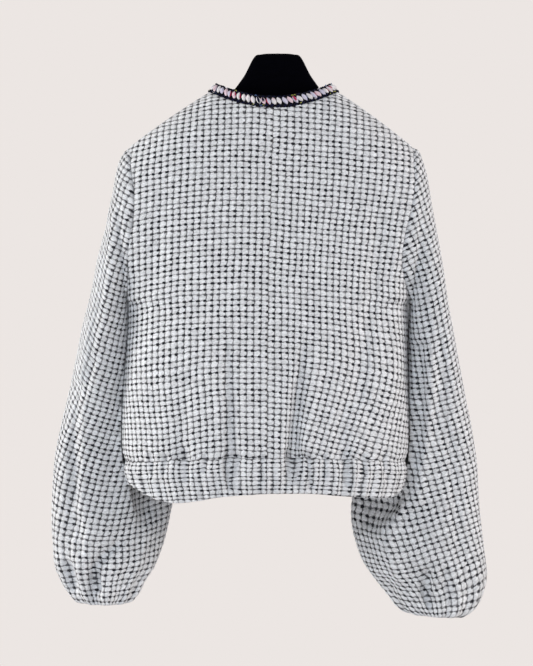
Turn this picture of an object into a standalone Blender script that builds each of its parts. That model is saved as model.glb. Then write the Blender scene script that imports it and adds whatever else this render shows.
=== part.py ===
"""A cropped, collarless tweed jacket with balloon sleeves, hanging on a broad padded hanger.

The frame is in metres with +Z up. The jacket faces -Y, so its back is on the +Y side and the
wearer's left is at +X. The origin is the top of the hanger's neck, where the hanger is held.
Every cloth piece is a wall of one thickness, lofted between sections worked out from the tables
of sizes below. Pieces that are sewn together stop SEAM_GAP short of each other.
"""

import math

import bmesh
import bpy
import numpy as np

MM = 0.001
LEFT, RIGHT = 1, -1  # the wearer's sides, as signs of X
BACK, FRONT = 1, -1  # as signs of Y
X, Y, Z = 0, 1, 2
EVERY = slice(None)
SIDE_NAMES = {LEFT: "left", RIGHT: "right"}

WALL = 2.0 * MM  # thickness of the lined tweed
SEAM_GAP = 0.3 * MM
FRONT_GAP = 2.0 * MM  # between the two front edges, which meet edge to edge

# Heights of the garment's lines, below the top of the hanger.
NECK_POINT_Z = -52 * MM
BACK_NECK_Z = -77 * MM
FRONT_NECK_Z = -137 * MM
SHOULDER_TIP_Z = -126 * MM
UNDERARM_Z = -335 * MM
WAIST_SEAM_Z = -541 * MM
WAIST_SEAM_SIDE_DROP = 9 * MM

NECK_HALF = 87 * MM  # half the width of the neck opening, seam to seam
SHOULDER_HALF = 191.5 * MM
ARMHOLE_BULGE = {BACK: 50 * MM, FRONT: 54 * MM}  # how far the armhole reaches back and forward
SHOULDER_ROLL = 50 * MM  # height over which the cloth turns over the shoulder
NECK_COLUMNS = 7  # columns of each panel's grid from its centre to the neck point
SIDE_SQUARENESS = 2.6  # of the body's section, across
DEPTH_SQUARENESS = 2.1  # of the body's section, front to back


def table(columns, *rows):
    """A dict with one array in metres for each named column, from rows in millimetres."""
    return {name: np.array(values) * MM for name, values in zip(columns.split(), zip(*rows))}


# Horizontal sections of the body and its waistband. The jacket hangs a little to the wearer's
# left of the hanger's middle, by shift, and its two sides hang unlike.
BODY = table(
    "height half_left half_right back_depth front_depth shift",
    (-625, 180, 178, 79, 77, 14),
    (-590, 185, 181, 84, 82, 14),
    (-546, 194, 189, 88, 86, 14),
    (-500, 196, 191, 88, 86, 14),
    (-450, 194, 190, 86, 85, 14),
    (-400, 190, 188.5, 83, 83, 13.5),
    (-335, 188, 187, 78, 79, 12.5),
    (-310, 188, 182.5, 76, 77, 12),
    (-284, 188, 176, 74, 74, 11.5),
    (-254, 186, 177.5, 71, 71, 10.5),
    (-215, 181, 186, 67, 65, 9.5),
    (-180, 184, 190, 62.5, 60, 8),
    (-155, 188, 189, 59, 57, 7.5),
    (-126, 193, 188.5, 55, 54, 6.5),
    (-77, 193, 188.5, 48, 48, 5),
    (-40, 193, 188.5, 42, 42, 4),
)

# The hem's height below the origin at points across the body, as seen from behind and in front.
HEM = table(
    "share back_left back_right front",
    (0, -588, -588, -588),
    (350, -593, -588.5, -589),
    (500, -598, -591, -590),
    (700, -601, -594, -591),
    (850, -594, -596, -590),
    (950, -584, -594.5, -587),
    (1000, -578, -587, -583),
)

# The soft troughs that fall down the body to the waistband, at X = top_x to low_x.
BODY_FOLDS = {
    BACK: table(
        "top_x low_x top_z low_z depth half_width",
        (62, 64, -380, -552, 8, 13),
        (-38, -19, -370, -552, 8, 13),
        (-140, -98, -205, -470, 4.5, 17),
        (158, 165, -190, -300, 3, 12),
        (120, 128, -430, -556, 3.5, 11),
        (-88, -84, -450, -556, 3.5, 10),
    ),
    FRONT: table(
        "top_x low_x top_z low_z depth half_width",
        (78, 70, -360, -552, 7, 14),
        (-52, -46, -380, -552, 7, 13),
        (140, 112, -230, -450, 4, 17),
        (-122, -96, -240, -470, 4, 17),
    ),
}
FOLD_FADE = 30 * MM  # height over which a trough dies away in the waistband

# The waistband's elastic draws it into small gathers.
GATHER_LENGTH = 24 * MM
GATHER_DEPTH = 2.4 * MM
GATHER_DRIFT = 5 * MM  # how far a gather may stand from even spacing
BAND_BULGE = 2.0 * MM

# Rings of each sleeve from the armhole down: X, Y and Z of the ring's outer end and of its inner
# end, with X taken towards that side, and the ring's half depth in Y. The sleeves hang forward of
# the shoulders, and their inner sides lie round the body's front corners.
SLEEVE_COLUMNS = "outer_x outer_y outer_z inner_x inner_y inner_z half_depth"
SLEEVE = {
    LEFT: table(
        SLEEVE_COLUMNS,
        (198.0, 0, -126, 200.8, 0, -335, 52),
        (205.5, 0, -132, 204, -8, -343, 52),
        (213, 0, -145, 202, -20, -354, 54),
        (218, 0, -164, 200, -30, -367, 56),
        (224, 0, -197, 198, -38, -382, 58),
        (233, 0, -237, 196, -44, -401, 60),
        (243, 0, -278, 194, -50, -424, 61),
        (252, -2, -322, 191, -57, -450, 62),
        (264, -4, -366, 185, -64, -478, 62),
        (273, -8, -411, 174, -72, -508, 62),
        (283, -14, -456, 161, -78, -541, 61),
        (294, -21, -501, 150, -82, -574, 60),
        (303, -26, -546, 145, -82, -605, 59),
        (307, -32, -590, 149, -76, -632, 58),
        (308.5, -36, -632, 155, -70, -660, 57),
        (307.5, -40, -664, 162, -64, -682, 56),
        (305.5, -43, -692, 170, -59, -702, 53),
        (297, -45, -714, 182, -55, -719, 48),
        (285, -47, -734, 192, -51, -737, 46),
        (270, -48, -746, 205, -48, -746.5, 40),
        (254, -48, -741, 219, -48, -741.5, 30),
    ),
    RIGHT: table(
        SLEEVE_COLUMNS,
        (185.0, 0, -126, 175.8, 0, -335, 52),
        (191, 0, -132, 180, -8, -343, 52),
        (196.5, 0, -146, 179, -20, -354, 54),
        (202.5, 0, -168, 177, -30, -367, 56),
        (207.5, 0, -200, 175, -38, -382, 58),
        (215, 0, -241, 173, -44, -401, 60),
        (223, 0, -286, 171, -50, -424, 61),
        (229.5, -2, -331, 167, -57, -450, 62),
        (238, -4, -376, 159, -64, -478, 62),
        (246.5, -8, -421, 147, -72, -508, 62),
        (255.5, -14, -466, 130, -78, -541, 61),
        (265, -21, -511, 113, -82, -576, 60),
        (272, -26, -556, 104, -82, -608, 59),
        (275, -32, -601, 103, -76, -638, 58),
        (279, -36, -641, 108, -70, -664, 57),
        (284, -40, -678, 118, -64, -692, 56),
        (286.5, -43, -708, 134, -59, -716, 53),
        (281, -45, -733, 153, -55, -738, 48),
        (270, -47, -754, 166, -51, -753, 47),
        (253, -48, -765.5, 183, -48, -760, 40),
        (237, -48, -760, 201, -48, -755.5, 30),
    ),
}
SLEEVE_SQUARENESS = 2.3
BODY_CLEARANCE = 6.5 * MM  # between a sleeve and the body that it hangs against
CLEARED_TO_Z = -612 * MM  # below this the sleeve hangs free of the body
CLEARED_FADE = 45 * MM

# The seams of each two-piece sleeve, as angles round it: 0 at the outer side, 90 at the back,
# 180 at the body and 270 at the front. The sleeve's grid has a column each 10 degrees, and the
# panels' grid a row each 20 degrees of the armhole, so that the two edges there are one polygon.
BACK_SEAM, FRONT_SEAM = 60, 240
SLEEVE_COLUMN_DEGREES = 10
ARMHOLE_ROWS = 9
LOWER_ROWS = 8

# Creases of the sleeves: the angles and heights where each starts and ends, its depth (below 0
# for a ridge) and its half width in degrees.
CREASE_COLUMNS = "top_angle low_angle top_z low_z depth half_angle"
CREASES = {
    LEFT: (
        (57, 56, -400, -560, 6.0, 13),
        (56, 40, -560, -728, 7.0, 12),
        (92, 74, -655, -745, 7.5, 11),
        (122, 104, -600, -690, 3.5, 14),
        (18, 26, -330, -520, 2.5, 16),
        (150, 140, -640, -740, 3.5, 13),
        (268, 282, -430, -640, 5.0, 15),
        (300, 312, -560, -735, 5.0, 13),
        (246, 250, -620, -742, 5.0, 12),
    ),
    RIGHT: (
        (86, 86, -390, -590, -3.5, 11),
        (66, 68, -380, -520, 3.0, 12),
        (118, 128, -560, -700, -5.0, 14),
        (150, 152, -590, -720, 3.5, 16),
        (100, 96, -690, -762, 9.0, 10),
        (48, 62, -640, -750, 3.0, 13),
        (262, 276, -430, -640, 5.0, 15),
        (302, 296, -540, -745, 5.0, 13),
        (236, 244, -640, -752, 5.0, 12),
    ),
}

# The balloon is drawn into its cuff by small gathers.
CUFF_GATHERS = 11
CUFF_GATHER_DEPTH = 3.0 * MM
GATHERS_FROM, GATHERS_FULL = 14.5, 18.5  # rings of the sleeve's table
CUFF_HEIGHT = 5 * MM
CUFF_RIPPLE = 0.6 * MM

# The braid round the neck stands on the cloth's edge and leans into the opening.
BRAID_WIDTH = 13 * MM
BRAID_THICKNESS = 6 * MM
BRAID_GAP = 0.6 * MM  # to the cloth's edge
BRAID_LUMP = 6.9 * MM  # length of one plait
BRAID_RELIEF = 0.9 * MM
BRAID_LEAN = (14, 47)  # degrees from upright, at the centre front and back, and at the sides

# The hanger across its length: its top and underside, and its half depth.
HANGER = table(
    "across top underside half_depth",
    (0, 0, -96, 17),
    (22, -1.3, -96, 17),
    (30, -3.5, -96, 17),
    (34, -9, -96, 17),
    (38.5, -18, -96, 17),
    (43.5, -28, -96, 17),
    (50.5, -38.5, -97, 16.5),
    (58, -48.5, -98, 15.5),
    (66, -57, -100, 14.5),
    (76, -63.5, -104, 14),
    (90, -68, -109, 15),
    (115, -80, -119, 18),
    (140, -99, -131, 19.5),
    (158, -114, -140, 20),
    (168, -123, -143, 18),
    (173, -130, -141, 12),
)
HANGER_SQUARENESS = 2.6
SOCKET_RADIUS = 3 * MM  # of the hole in the hanger's top that takes its hook
SOCKET_DEPTH = 20 * MM

COLOURS = {
    "tweed": ((0.62, 0.64, 0.68), 0.95),
    "braid": ((0.20, 0.16, 0.22), 0.85),
    "velvet": ((0.006, 0.006, 0.009), 0.9),
}


def through(heights, values, at):
    """Values on a smooth curve through a table's points, which are in rising order."""
    at = np.clip(at, heights[0], heights[-1])
    slopes = np.gradient(values, heights)
    i = np.clip(np.searchsorted(heights, at) - 1, 0, len(heights) - 2)
    gap = heights[i + 1] - heights[i]
    t = (at - heights[i]) / gap
    start = (1 + 2 * t) * (1 - t) ** 2 * values[i] + t * (1 - t) ** 2 * gap * slopes[i]
    return start + t * t * (3 - 2 * t) * values[i + 1] + t * t * (t - 1) * gap * slopes[i + 1]


def body(column, height):
    return through(BODY["height"], BODY[column], height)


def half_width(side, height):
    return body("half_" + SIDE_NAMES[side], height)


def smooth(t):
    """0 up to t = 0, 1 from t = 1, and an even rise between."""
    t = np.clip(t, 0, 1)
    return t * t * (3 - 2 * t)


def stack(x, y, z):
    return np.stack(np.broadcast_arrays(x, y, z), axis=-1)


def folded_in(face, x, z):
    """How deep the body's troughs are at X and Z, towards the inside."""
    folds = BODY_FOLDS[face]
    depth = 0
    for i in range(len(folds["depth"])):
        down = (folds["top_z"][i] - z) / (folds["top_z"][i] - folds["low_z"][i])
        line = folds["top_x"][i] + (folds["low_x"][i] - folds["top_x"][i]) * down
        grown = smooth(down) * (1 - smooth((down - 1) * (folds["top_z"][i] - folds["low_z"][i]) / FOLD_FADE))
        depth = depth + folds["depth"][i] * grown * np.exp(-(((x - line) / folds["half_width"][i]) ** 2))
    return depth


def section_depth(share, squareness=DEPTH_SQUARENESS):
    """Depth of the body's section at a share of its half width, as a share of its full depth."""
    return np.clip(1 - share**SIDE_SQUARENESS, 0, 1) ** (1 / squareness)


def top_height(face, lateral):
    """Height of the panel's upper edge: the neckline, then the shoulder seam."""
    neck = np.clip(lateral / NECK_HALF, 0, 1)
    if face == BACK:
        neckline = BACK_NECK_Z + (NECK_POINT_Z - BACK_NECK_Z) * neck**2
    else:
        neckline = FRONT_NECK_Z + (NECK_POINT_Z - FRONT_NECK_Z) * neck**2.6
    along = np.clip((lateral - NECK_HALF) / (SHOULDER_HALF - NECK_HALF), 0, 1)
    return neckline + (SHOULDER_TIP_Z - NECK_POINT_Z) * (0.86 * along + 0.14 * along**2)


def waist_height(phi):
    return WAIST_SEAM_Z - WAIST_SEAM_SIDE_DROP * np.sin(phi) ** 2


def hem_height(side, face, phi):
    column = "front" if face == FRONT else "back_" + SIDE_NAMES[side]
    return through(HEM["share"], HEM[column], np.sin(phi) * 1.0)


def across(side, face, share, half, shift):
    """X at a share of the half width, half a seam gap clear of the centre seam or opening."""
    centre_gap = SEAM_GAP if face == BACK else FRONT_GAP
    return shift + side * np.maximum(half * share, centre_gap / 2)


def body_point(side, face, phi, level):
    """A point on the outside of a body panel. phi runs from 0 at the centre to a quarter turn at
    the side, and level from 0 at the waist seam through 1 at the underarm to 2 at the top."""
    share = np.sin(phi)
    up = np.clip(level - 1, 0, 1)
    climb = (1 - np.cos(math.pi * up)) / 2
    top = top_height(face, SHOULDER_HALF * share)
    low_z = waist_height(phi) + (UNDERARM_Z - waist_height(phi)) * np.clip(level, 0, 1)
    z = np.where(level <= 1, low_z, UNDERARM_Z + (top - UNDERARM_Z) * climb)
    edge_z = np.where(level <= 1, low_z, UNDERARM_Z + (SHOULDER_TIP_Z - UNDERARM_Z) * climb)
    x = across(side, face, share, half_width(side, edge_z), body("shift", z))

    depth = body("back_depth" if face == BACK else "front_depth", z)
    turn = np.where(level <= 1, 1, np.clip((top - z) / SHOULDER_ROLL, 0, 1))
    roll = np.sqrt(1 - (1 - turn) ** 2)
    at_neck = np.sqrt(np.clip(1 - (share * SHOULDER_HALF / NECK_HALF) ** 2, 0, 1))
    depth = depth * (at_neck + (1 - at_neck) * roll)
    edge = ARMHOLE_BULGE[face] * np.sin(math.pi * up)
    squareness = DEPTH_SQUARENESS + (1 - DEPTH_SQUARENESS) * smooth(up / 0.35)
    y = edge + (depth - edge) * section_depth(share, squareness) - folded_in(face, x, z)
    return stack(x, face * np.maximum(y, SEAM_GAP / 2), z)


def girth_table():
    """Distance round the waist section from the centre, for angles from the centre to the side."""
    phi = np.linspace(0, math.pi / 2, 200)
    x = half_width(LEFT, WAIST_SEAM_Z) * np.sin(phi)
    y = body("back_depth", WAIST_SEAM_Z) * section_depth(np.sin(phi))
    steps = np.hypot(np.diff(x), np.diff(y))
    return phi, np.concatenate([[0], np.cumsum(steps)])


GIRTH_ANGLES, GIRTHS = girth_table()


def gather(side, face, phi):
    """The waistband's gathers, as a distance outwards, even across the side and centre seams."""
    run = np.interp(phi, GIRTH_ANGLES, GIRTHS)
    run = side * (run if face == BACK else 2 * GIRTHS[-1] - run)
    run = run + GATHER_DRIFT * np.sin(run / (31 * MM)) + GATHER_DRIFT * np.sin(run / (17 * MM) + 1)
    height = 0.75 + 0.25 * np.sin(run / (23 * MM))
    return GATHER_DEPTH * height * np.sin(2 * math.pi * run / GATHER_LENGTH)


def band_point(side, face, phi, drop):
    """A point on the outside of the waistband. drop runs from 0 at its seam to 1 at the hem."""
    top = waist_height(phi) - SEAM_GAP
    z = top + (hem_height(side, face, phi) - top) * drop
    share = np.sin(phi)
    half = half_width(side, z)
    depth = body("back_depth" if face == BACK else "front_depth", z) * section_depth(share)
    out = gather(side, face, phi) * smooth(drop / 0.5) + BAND_BULGE * np.sin(math.pi * drop)
    away = np.hypot(half * share, depth)
    x = across(side, face, share, half * (1 + out / away), body("shift", z))
    y = depth * (1 + out / away) - folded_in(face, x, z)
    return stack(x, face * np.maximum(y, SEAM_GAP / 2), z)


def armhole_point(side, angle):
    """A point on the armhole. angle is 0 at the shoulder tip and half a turn at the underarm."""
    middle, half = (SHOULDER_TIP_Z + UNDERARM_Z) / 2, (SHOULDER_TIP_Z - UNDERARM_Z) / 2
    z = middle + half * np.cos(angle)
    row_z = middle - half * np.cos(np.linspace(0, math.pi, ARMHOLE_ROWS + 1))
    row_x = body("shift", row_z) + side * (half_width(side, row_z) + SEAM_GAP)
    bulge = np.where(np.sin(angle) >= 0, ARMHOLE_BULGE[BACK], ARMHOLE_BULGE[FRONT])
    return stack(np.interp(z, row_z, row_x), bulge * np.sin(angle), z)


def clear_of_body(x, y, z):
    """The point, or where it has to be for the sleeve to lie just outside the body."""
    shift = body("shift", z)
    half = half_width(LEFT, z) * (x > shift) + half_width(RIGHT, z) * (x <= shift) + BODY_CLEARANCE
    depth = np.where(y > 0, body("back_depth", z), body("front_depth", z)) + BODY_CLEARANCE
    inside = (np.abs(x - shift) / half) ** SIDE_SQUARENESS + (np.abs(y) / depth) ** DEPTH_SQUARENESS
    mean_squareness = (SIDE_SQUARENESS + DEPTH_SQUARENESS) / 2
    out = np.maximum(np.maximum(inside, 0.05) ** (-1 / mean_squareness), 1)
    below = smooth((CLEARED_TO_Z - z) / CLEARED_FADE)
    above = smooth((z - UNDERARM_Z) / CLEARED_FADE)
    out = 1 + (out - 1) * (1 - below) * (1 - above)
    return shift + (x - shift) * out, y * out


def creased(side, angle, z):
    """How far the sleeve's creases draw its surface in."""
    depth = 0
    for row in CREASES[side]:
        crease = dict(zip(CREASE_COLUMNS.split(), row))
        top_z, low_z = crease["top_z"] * MM, crease["low_z"] * MM
        down = (top_z - z) / (top_z - low_z)
        line = crease["top_angle"] + (crease["low_angle"] - crease["top_angle"]) * np.clip(down, 0, 1)
        away = (np.degrees(angle) - line + 180) % 360 - 180
        along = smooth((down + 0.15) / 0.4) * smooth((1.12 - down) / 0.3)
        depth = depth + crease["depth"] * MM * along * np.exp(-((away / crease["half_angle"]) ** 2))
    return depth


def rounded(value):
    """A cosine or sine made squarer, for a section between an ellipse and a rectangle."""
    return np.sign(value) * np.abs(value) ** (2 / SLEEVE_SQUARENESS)


def sleeve_point(side, angle, ring):
    """A point on the outside of a sleeve. ring is a row of the sleeve's table, or between two."""
    rows = np.arange(len(SLEEVE[side]["outer_x"]), dtype=float)
    at = {name: through(rows, column, ring) for name, column in SLEEVE[side].items()}
    squarer = smooth((ring - 1) / 6)
    cosine = np.cos(angle) * (1 - squarer) + rounded(np.cos(angle)) * squarer
    sine = np.sin(angle) * (1 - squarer) + rounded(np.sin(angle)) * squarer
    x = (at["outer_x"] + at["inner_x"]) / 2 + (at["outer_x"] - at["inner_x"]) / 2 * cosine
    z = (at["outer_z"] + at["inner_z"]) / 2 + (at["outer_z"] - at["inner_z"]) / 2 * cosine
    y = (at["outer_y"] + at["inner_y"]) / 2 + (at["outer_y"] - at["inner_y"]) / 2 * cosine
    y = y + at["half_depth"] * sine

    drawn = smooth((ring - GATHERS_FROM) / (GATHERS_FULL - GATHERS_FROM)) * (1 - smooth(ring - 19))
    uneven = 0.3 * np.sin(2 * angle + side) + 0.25 * np.sin(5 * angle)
    out = CUFF_GATHER_DEPTH * drawn * np.cos(CUFF_GATHERS * angle + uneven * 2)
    settled = smooth((ring - 2) / 3) * (1 - smooth(ring - 19))
    out = out - creased(side, angle, z) * settled
    x = side * (x + out * np.cos(angle))
    y = y + out * np.sin(angle)
    x, y = clear_of_body(x, y, z)

    joined = np.clip(ring, 0, 1)[..., None]
    return armhole_point(side, angle) * (1 - joined) + stack(x, y, z) * joined


def sleeve_radius(side, ring):
    """The lesser half width of a sleeve's ring."""
    rows = np.arange(len(SLEEVE[side]["outer_x"]), dtype=float)
    at = {name: through(rows, column, ring) for name, column in SLEEVE[side].items()}
    wide = np.hypot(at["outer_x"] - at["inner_x"], at["outer_z"] - at["inner_z"]) / 2
    return np.minimum(wide, at["half_depth"])


def cuff_point(side, angle, drop):
    """A point on the outside of the narrow cuff, which is tucked up inside the balloon."""
    last = len(SLEEVE[side]["outer_x"]) - 1.0
    start = sleeve_point(side, angle, np.full_like(angle, last))
    out = CUFF_RIPPLE * np.sin(CUFF_GATHERS * 2 * angle) * smooth(drop * 2)
    z = start[..., 2] - SEAM_GAP - CUFF_HEIGHT * drop
    return stack(start[..., 0] + side * out * np.cos(angle), start[..., 1] + out * np.sin(angle), z)


def unit(vectors):
    return vectors / np.maximum(np.linalg.norm(vectors, axis=-1, keepdims=True), 1e-12)


def normals_of(point, first, second, outward, endless):
    """The surface's unit normals, from part steps of its two parameters. endless says that the
    first parameter may be carried past its ends."""
    parts = []
    for axis, values in enumerate((first, second)):
        step = 0.3 * np.abs(np.diff(values, axis=1 - axis)).min()
        low, high = values - step, values + step
        if axis == 1 or not endless:
            low, high = np.maximum(low, values.min()), np.minimum(high, values.max())
        ends = [(v, second) if axis == 0 else (first, v) for v in (low, high)]
        parts.append(point(*ends[1]) - point(*ends[0]))
    return outward * unit(np.cross(parts[0], parts[1]))


def wall_object(
    name, point, firsts, seconds, outward, seams=(), armhole=None, endless=False, ring=False
):
    """A cloth wall: the surface point(first, second) outside, the same moved in by WALL inside,
    and its edges joined. outward is 1 or -1, for the side that the parameters' cross product
    faces. Each seam is the rows and columns whose wall keeps to the seam's plane, and its axis.
    armhole is the rows of the last column whose wall keeps to the body's side of the armhole."""
    first, second = np.meshgrid(firsts, seconds)
    outer = point(first, second)
    normals = normals_of(point, first, second, outward, endless or ring)
    for rows, columns, axis in seams:
        normals[rows, columns, axis] = 0
    if armhole:
        edge = normals[armhole, -1, X]
        normals[armhole, -1, X] = np.where(edge * outer[armhole, -1, X] > 0, edge, 0)
    inner = outer - WALL * unit(normals)
    rows, columns = outer.shape[:2]
    mesh = bpy.data.meshes.new(name)
    build = bmesh.new()
    skins = [[build.verts.new(p) for p in skin.reshape(-1, 3)] for skin in (outer, inner)]

    def corner(skin, row, column):
        return skins[skin][row * columns + column % columns]

    across_count = columns if ring else columns - 1
    for row in range(rows - 1):
        for column in range(across_count):
            loop = ((row, column), (row, column + 1), (row + 1, column + 1), (row + 1, column))
            for skin in (0, 1):
                build.faces.new([corner(skin, *at) for at in loop])
    rims = [[(row, column) for column in range(across_count + 1)] for row in (0, rows - 1)]
    if not ring:
        rims += [[(row, column) for row in range(rows)] for column in (0, columns - 1)]
    for rim in rims:
        for a, b in zip(rim, rim[1:]):
            build.faces.new([corner(0, *a), corner(0, *b), corner(1, *b), corner(1, *a)])
    bmesh.ops.recalc_face_normals(build, faces=build.faces)
    build.to_mesh(mesh)
    build.free()
    return shown(name, mesh, "tweed")


def material(slot):
    """The finish of that name, made once."""
    if slot in bpy.data.materials:
        return bpy.data.materials[slot]
    made = bpy.data.materials.new(slot)
    made.use_nodes = True
    colour, roughness = COLOURS[slot]
    shader = made.node_tree.nodes["Principled BSDF"]
    shader.inputs["Base Color"].default_value = (*colour, 1)
    shader.inputs["Roughness"].default_value = roughness
    return made


def shown(name, mesh, slot):
    """Puts a mesh in the jacket's collection as an object of that name."""
    made = bpy.data.objects.new(name, mesh)
    bpy.data.collections["cropped_tweed_jacket"].objects.link(made)
    mesh.materials.append(material(slot))
    mesh.shade_smooth()
    mesh.set_sharp_from_angle(angle=math.radians(50))
    return made


def body_panels():
    """The two back panels and the two front panels."""
    at_neck = math.asin(NECK_HALF / SHOULDER_HALF)
    phis = np.concatenate(
        [np.linspace(0, at_neck, NECK_COLUMNS + 1)[:-1], np.linspace(at_neck, math.pi / 2, 9)]
    )
    levels = np.concatenate(
        [np.linspace(0, 1, LOWER_ROWS + 1)[:-1], np.linspace(1, 2, ARMHOLE_ROWS + 1)]
    )
    waist_seam, centre_seam = (0, EVERY, Z), (EVERY, 0, X)
    side_seam, shoulder_seam = (slice(0, LOWER_ROWS + 1), -1, Y), (-1, slice(NECK_COLUMNS, None), Y)
    seams = (waist_seam, centre_seam, side_seam, shoulder_seam)
    for face, word in ((BACK, "back"), (FRONT, "front")):
        for side in (LEFT, RIGHT):

            def point(phi, level, side=side, face=face):
                return body_point(side, face, phi, level)

            name = f"{word}_{SIDE_NAMES[side]}"
            wall_object(name, point, phis, levels, -side * face, seams, armhole=slice(LOWER_ROWS + 1, None))


def waistband():
    """The gathered band, in one back piece and two front pieces that meet at the side seams."""
    per_quarter = round(4 * GIRTHS[-1] / GATHER_LENGTH)
    girths = np.linspace(0, GIRTHS[-1], per_quarter + 1)
    phis = np.interp(girths, GIRTHS, GIRTH_ANGLES)
    drops = np.linspace(0, 1, 4)

    def back(turn, drop):
        phi, left = np.abs(turn), turn > 0
        parts = [band_point(side, BACK, phi, drop) for side in (LEFT, RIGHT)]
        whole = np.where(left[..., None], *parts)
        whole[..., 0] = np.where(phi < 1e-9, body("shift", whole[..., 2]), whole[..., 0])
        return whole

    turns = np.concatenate([-phis[:0:-1], phis])
    seams = ((0, EVERY, Z), (EVERY, 0, Y), (EVERY, -1, Y))
    wall_object("waistband_back", back, turns, drops, 1, seams)
    for side in (LEFT, RIGHT):

        def front(phi, drop, side=side):
            return band_point(side, FRONT, phi, drop)

        name = f"waistband_front_{SIDE_NAMES[side]}"
        wall_object(name, front, phis, drops, side, ((0, EVERY, Z), (EVERY, 0, X), (EVERY, -1, Y)))


def sleeves():
    """The outer and under piece of each sleeve, and its cuff."""
    rings = np.concatenate([[0, 0.5], np.linspace(1, 13, 10), np.linspace(14, len(SLEEVE[LEFT]["outer_x"]) - 1, 8)])
    last = rings[-1]
    for side in (LEFT, RIGHT):

        def cuff(angle, drop, side=side):
            return cuff_point(side, angle, drop)

        word = SIDE_NAMES[side]
        back, front = math.radians(BACK_SEAM), math.radians(FRONT_SEAM)
        pieces = {
            f"sleeve_outer_{word}": (front - 2 * math.pi, back),
            f"sleeve_under_{word}": (back, front),
        }
        for name, (start, end) in pieces.items():

            def piece(share, ring, side=side, start=start, end=end):
                gap = SEAM_GAP / sleeve_radius(side, ring)
                return sleeve_point(side, start + gap + (end - start - 2 * gap) * share, ring)

            count = round(math.degrees(end - start) / SLEEVE_COLUMN_DEGREES) + 1
            shares = np.linspace(0, 1, count)
            wall_object(name, piece, shares, rings, -side, ((0, EVERY, X),), endless=True)
        turns = np.linspace(0, 2 * math.pi, 27)[:-1]
        wall_object(f"cuff_{word}", cuff, turns, np.array([0, 0.5, 1]), -side, ring=True)


def neckline(side, face, count):
    """Points along one quarter of the neckline, from the centre to the neck point."""
    phi = np.linspace(0, math.asin(NECK_HALF / SHOULDER_HALF), count)
    return body_point(side, face, phi, np.full(count, 2.0))


def neck_braid():
    """The braid: an oval tube swelling in plaits, on a line of points along the neckline."""
    quarters = [neckline(LEFT, FRONT, 60), neckline(LEFT, BACK, 60)[::-1]]
    quarters += [neckline(RIGHT, BACK, 60), neckline(RIGHT, FRONT, 60)[::-1]]
    line = np.concatenate(quarters)
    run = np.concatenate([[0], np.cumsum(np.linalg.norm(np.diff(line, axis=0), axis=1))])
    lumps = round(run[-1] / BRAID_LUMP)
    at = np.linspace(0, run[-1], 2 * lumps + 1)
    line = np.stack([np.interp(at, run, line[:, i]) for i in range(3)], axis=1)
    soft = np.concatenate([line[:1], (line[:-2] + 2 * line[1:-1] + line[2:]) / 4, line[-1:]])
    along = unit(np.gradient(soft, axis=0))

    inward = np.stack([body("shift", soft[:, 2]) - soft[:, 0], -soft[:, 1], 0 * at], axis=1)
    at_side = np.abs(inward[:, 0]) / np.maximum(np.abs(inward[:, 0]).max(), 1e-9)
    lean = np.radians(BRAID_LEAN[0] + (BRAID_LEAN[1] - BRAID_LEAN[0]) * at_side**2)[:, None]
    up = unit(unit(inward) * np.sin(lean) + np.array([0, 0, 1]) * np.cos(lean))
    up = unit(up - along * (up * along).sum(axis=1, keepdims=True))
    out = unit(np.cross(along, up))
    middle = soft + up * (BRAID_GAP + BRAID_WIDTH / 2)

    build = bmesh.new()
    sections = []
    for i in range(len(at)):
        swell = BRAID_RELIEF / 2 * (-1) ** i
        section = []
        for turn in np.linspace(0, 2 * math.pi, 7)[:-1]:
            wide = (BRAID_WIDTH / 2 - abs(swell) + swell) * math.cos(turn)
            thick = (BRAID_THICKNESS / 2 - abs(swell) + swell) * math.sin(turn)
            section.append(build.verts.new(middle[i] + up[i] * wide + out[i] * thick))
        sections.append(section)
    for a, b in zip(sections, sections[1:]):
        for j in range(6):
            build.faces.new([a[j], a[(j + 1) % 6], b[(j + 1) % 6], b[j]])
    build.faces.new(sections[0])
    build.faces.new(sections[-1][::-1])
    bmesh.ops.recalc_face_normals(build, faces=build.faces)
    mesh = bpy.data.meshes.new("neck_braid")
    build.to_mesh(mesh)
    build.free()
    shown("neck_braid", mesh, "braid")


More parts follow.
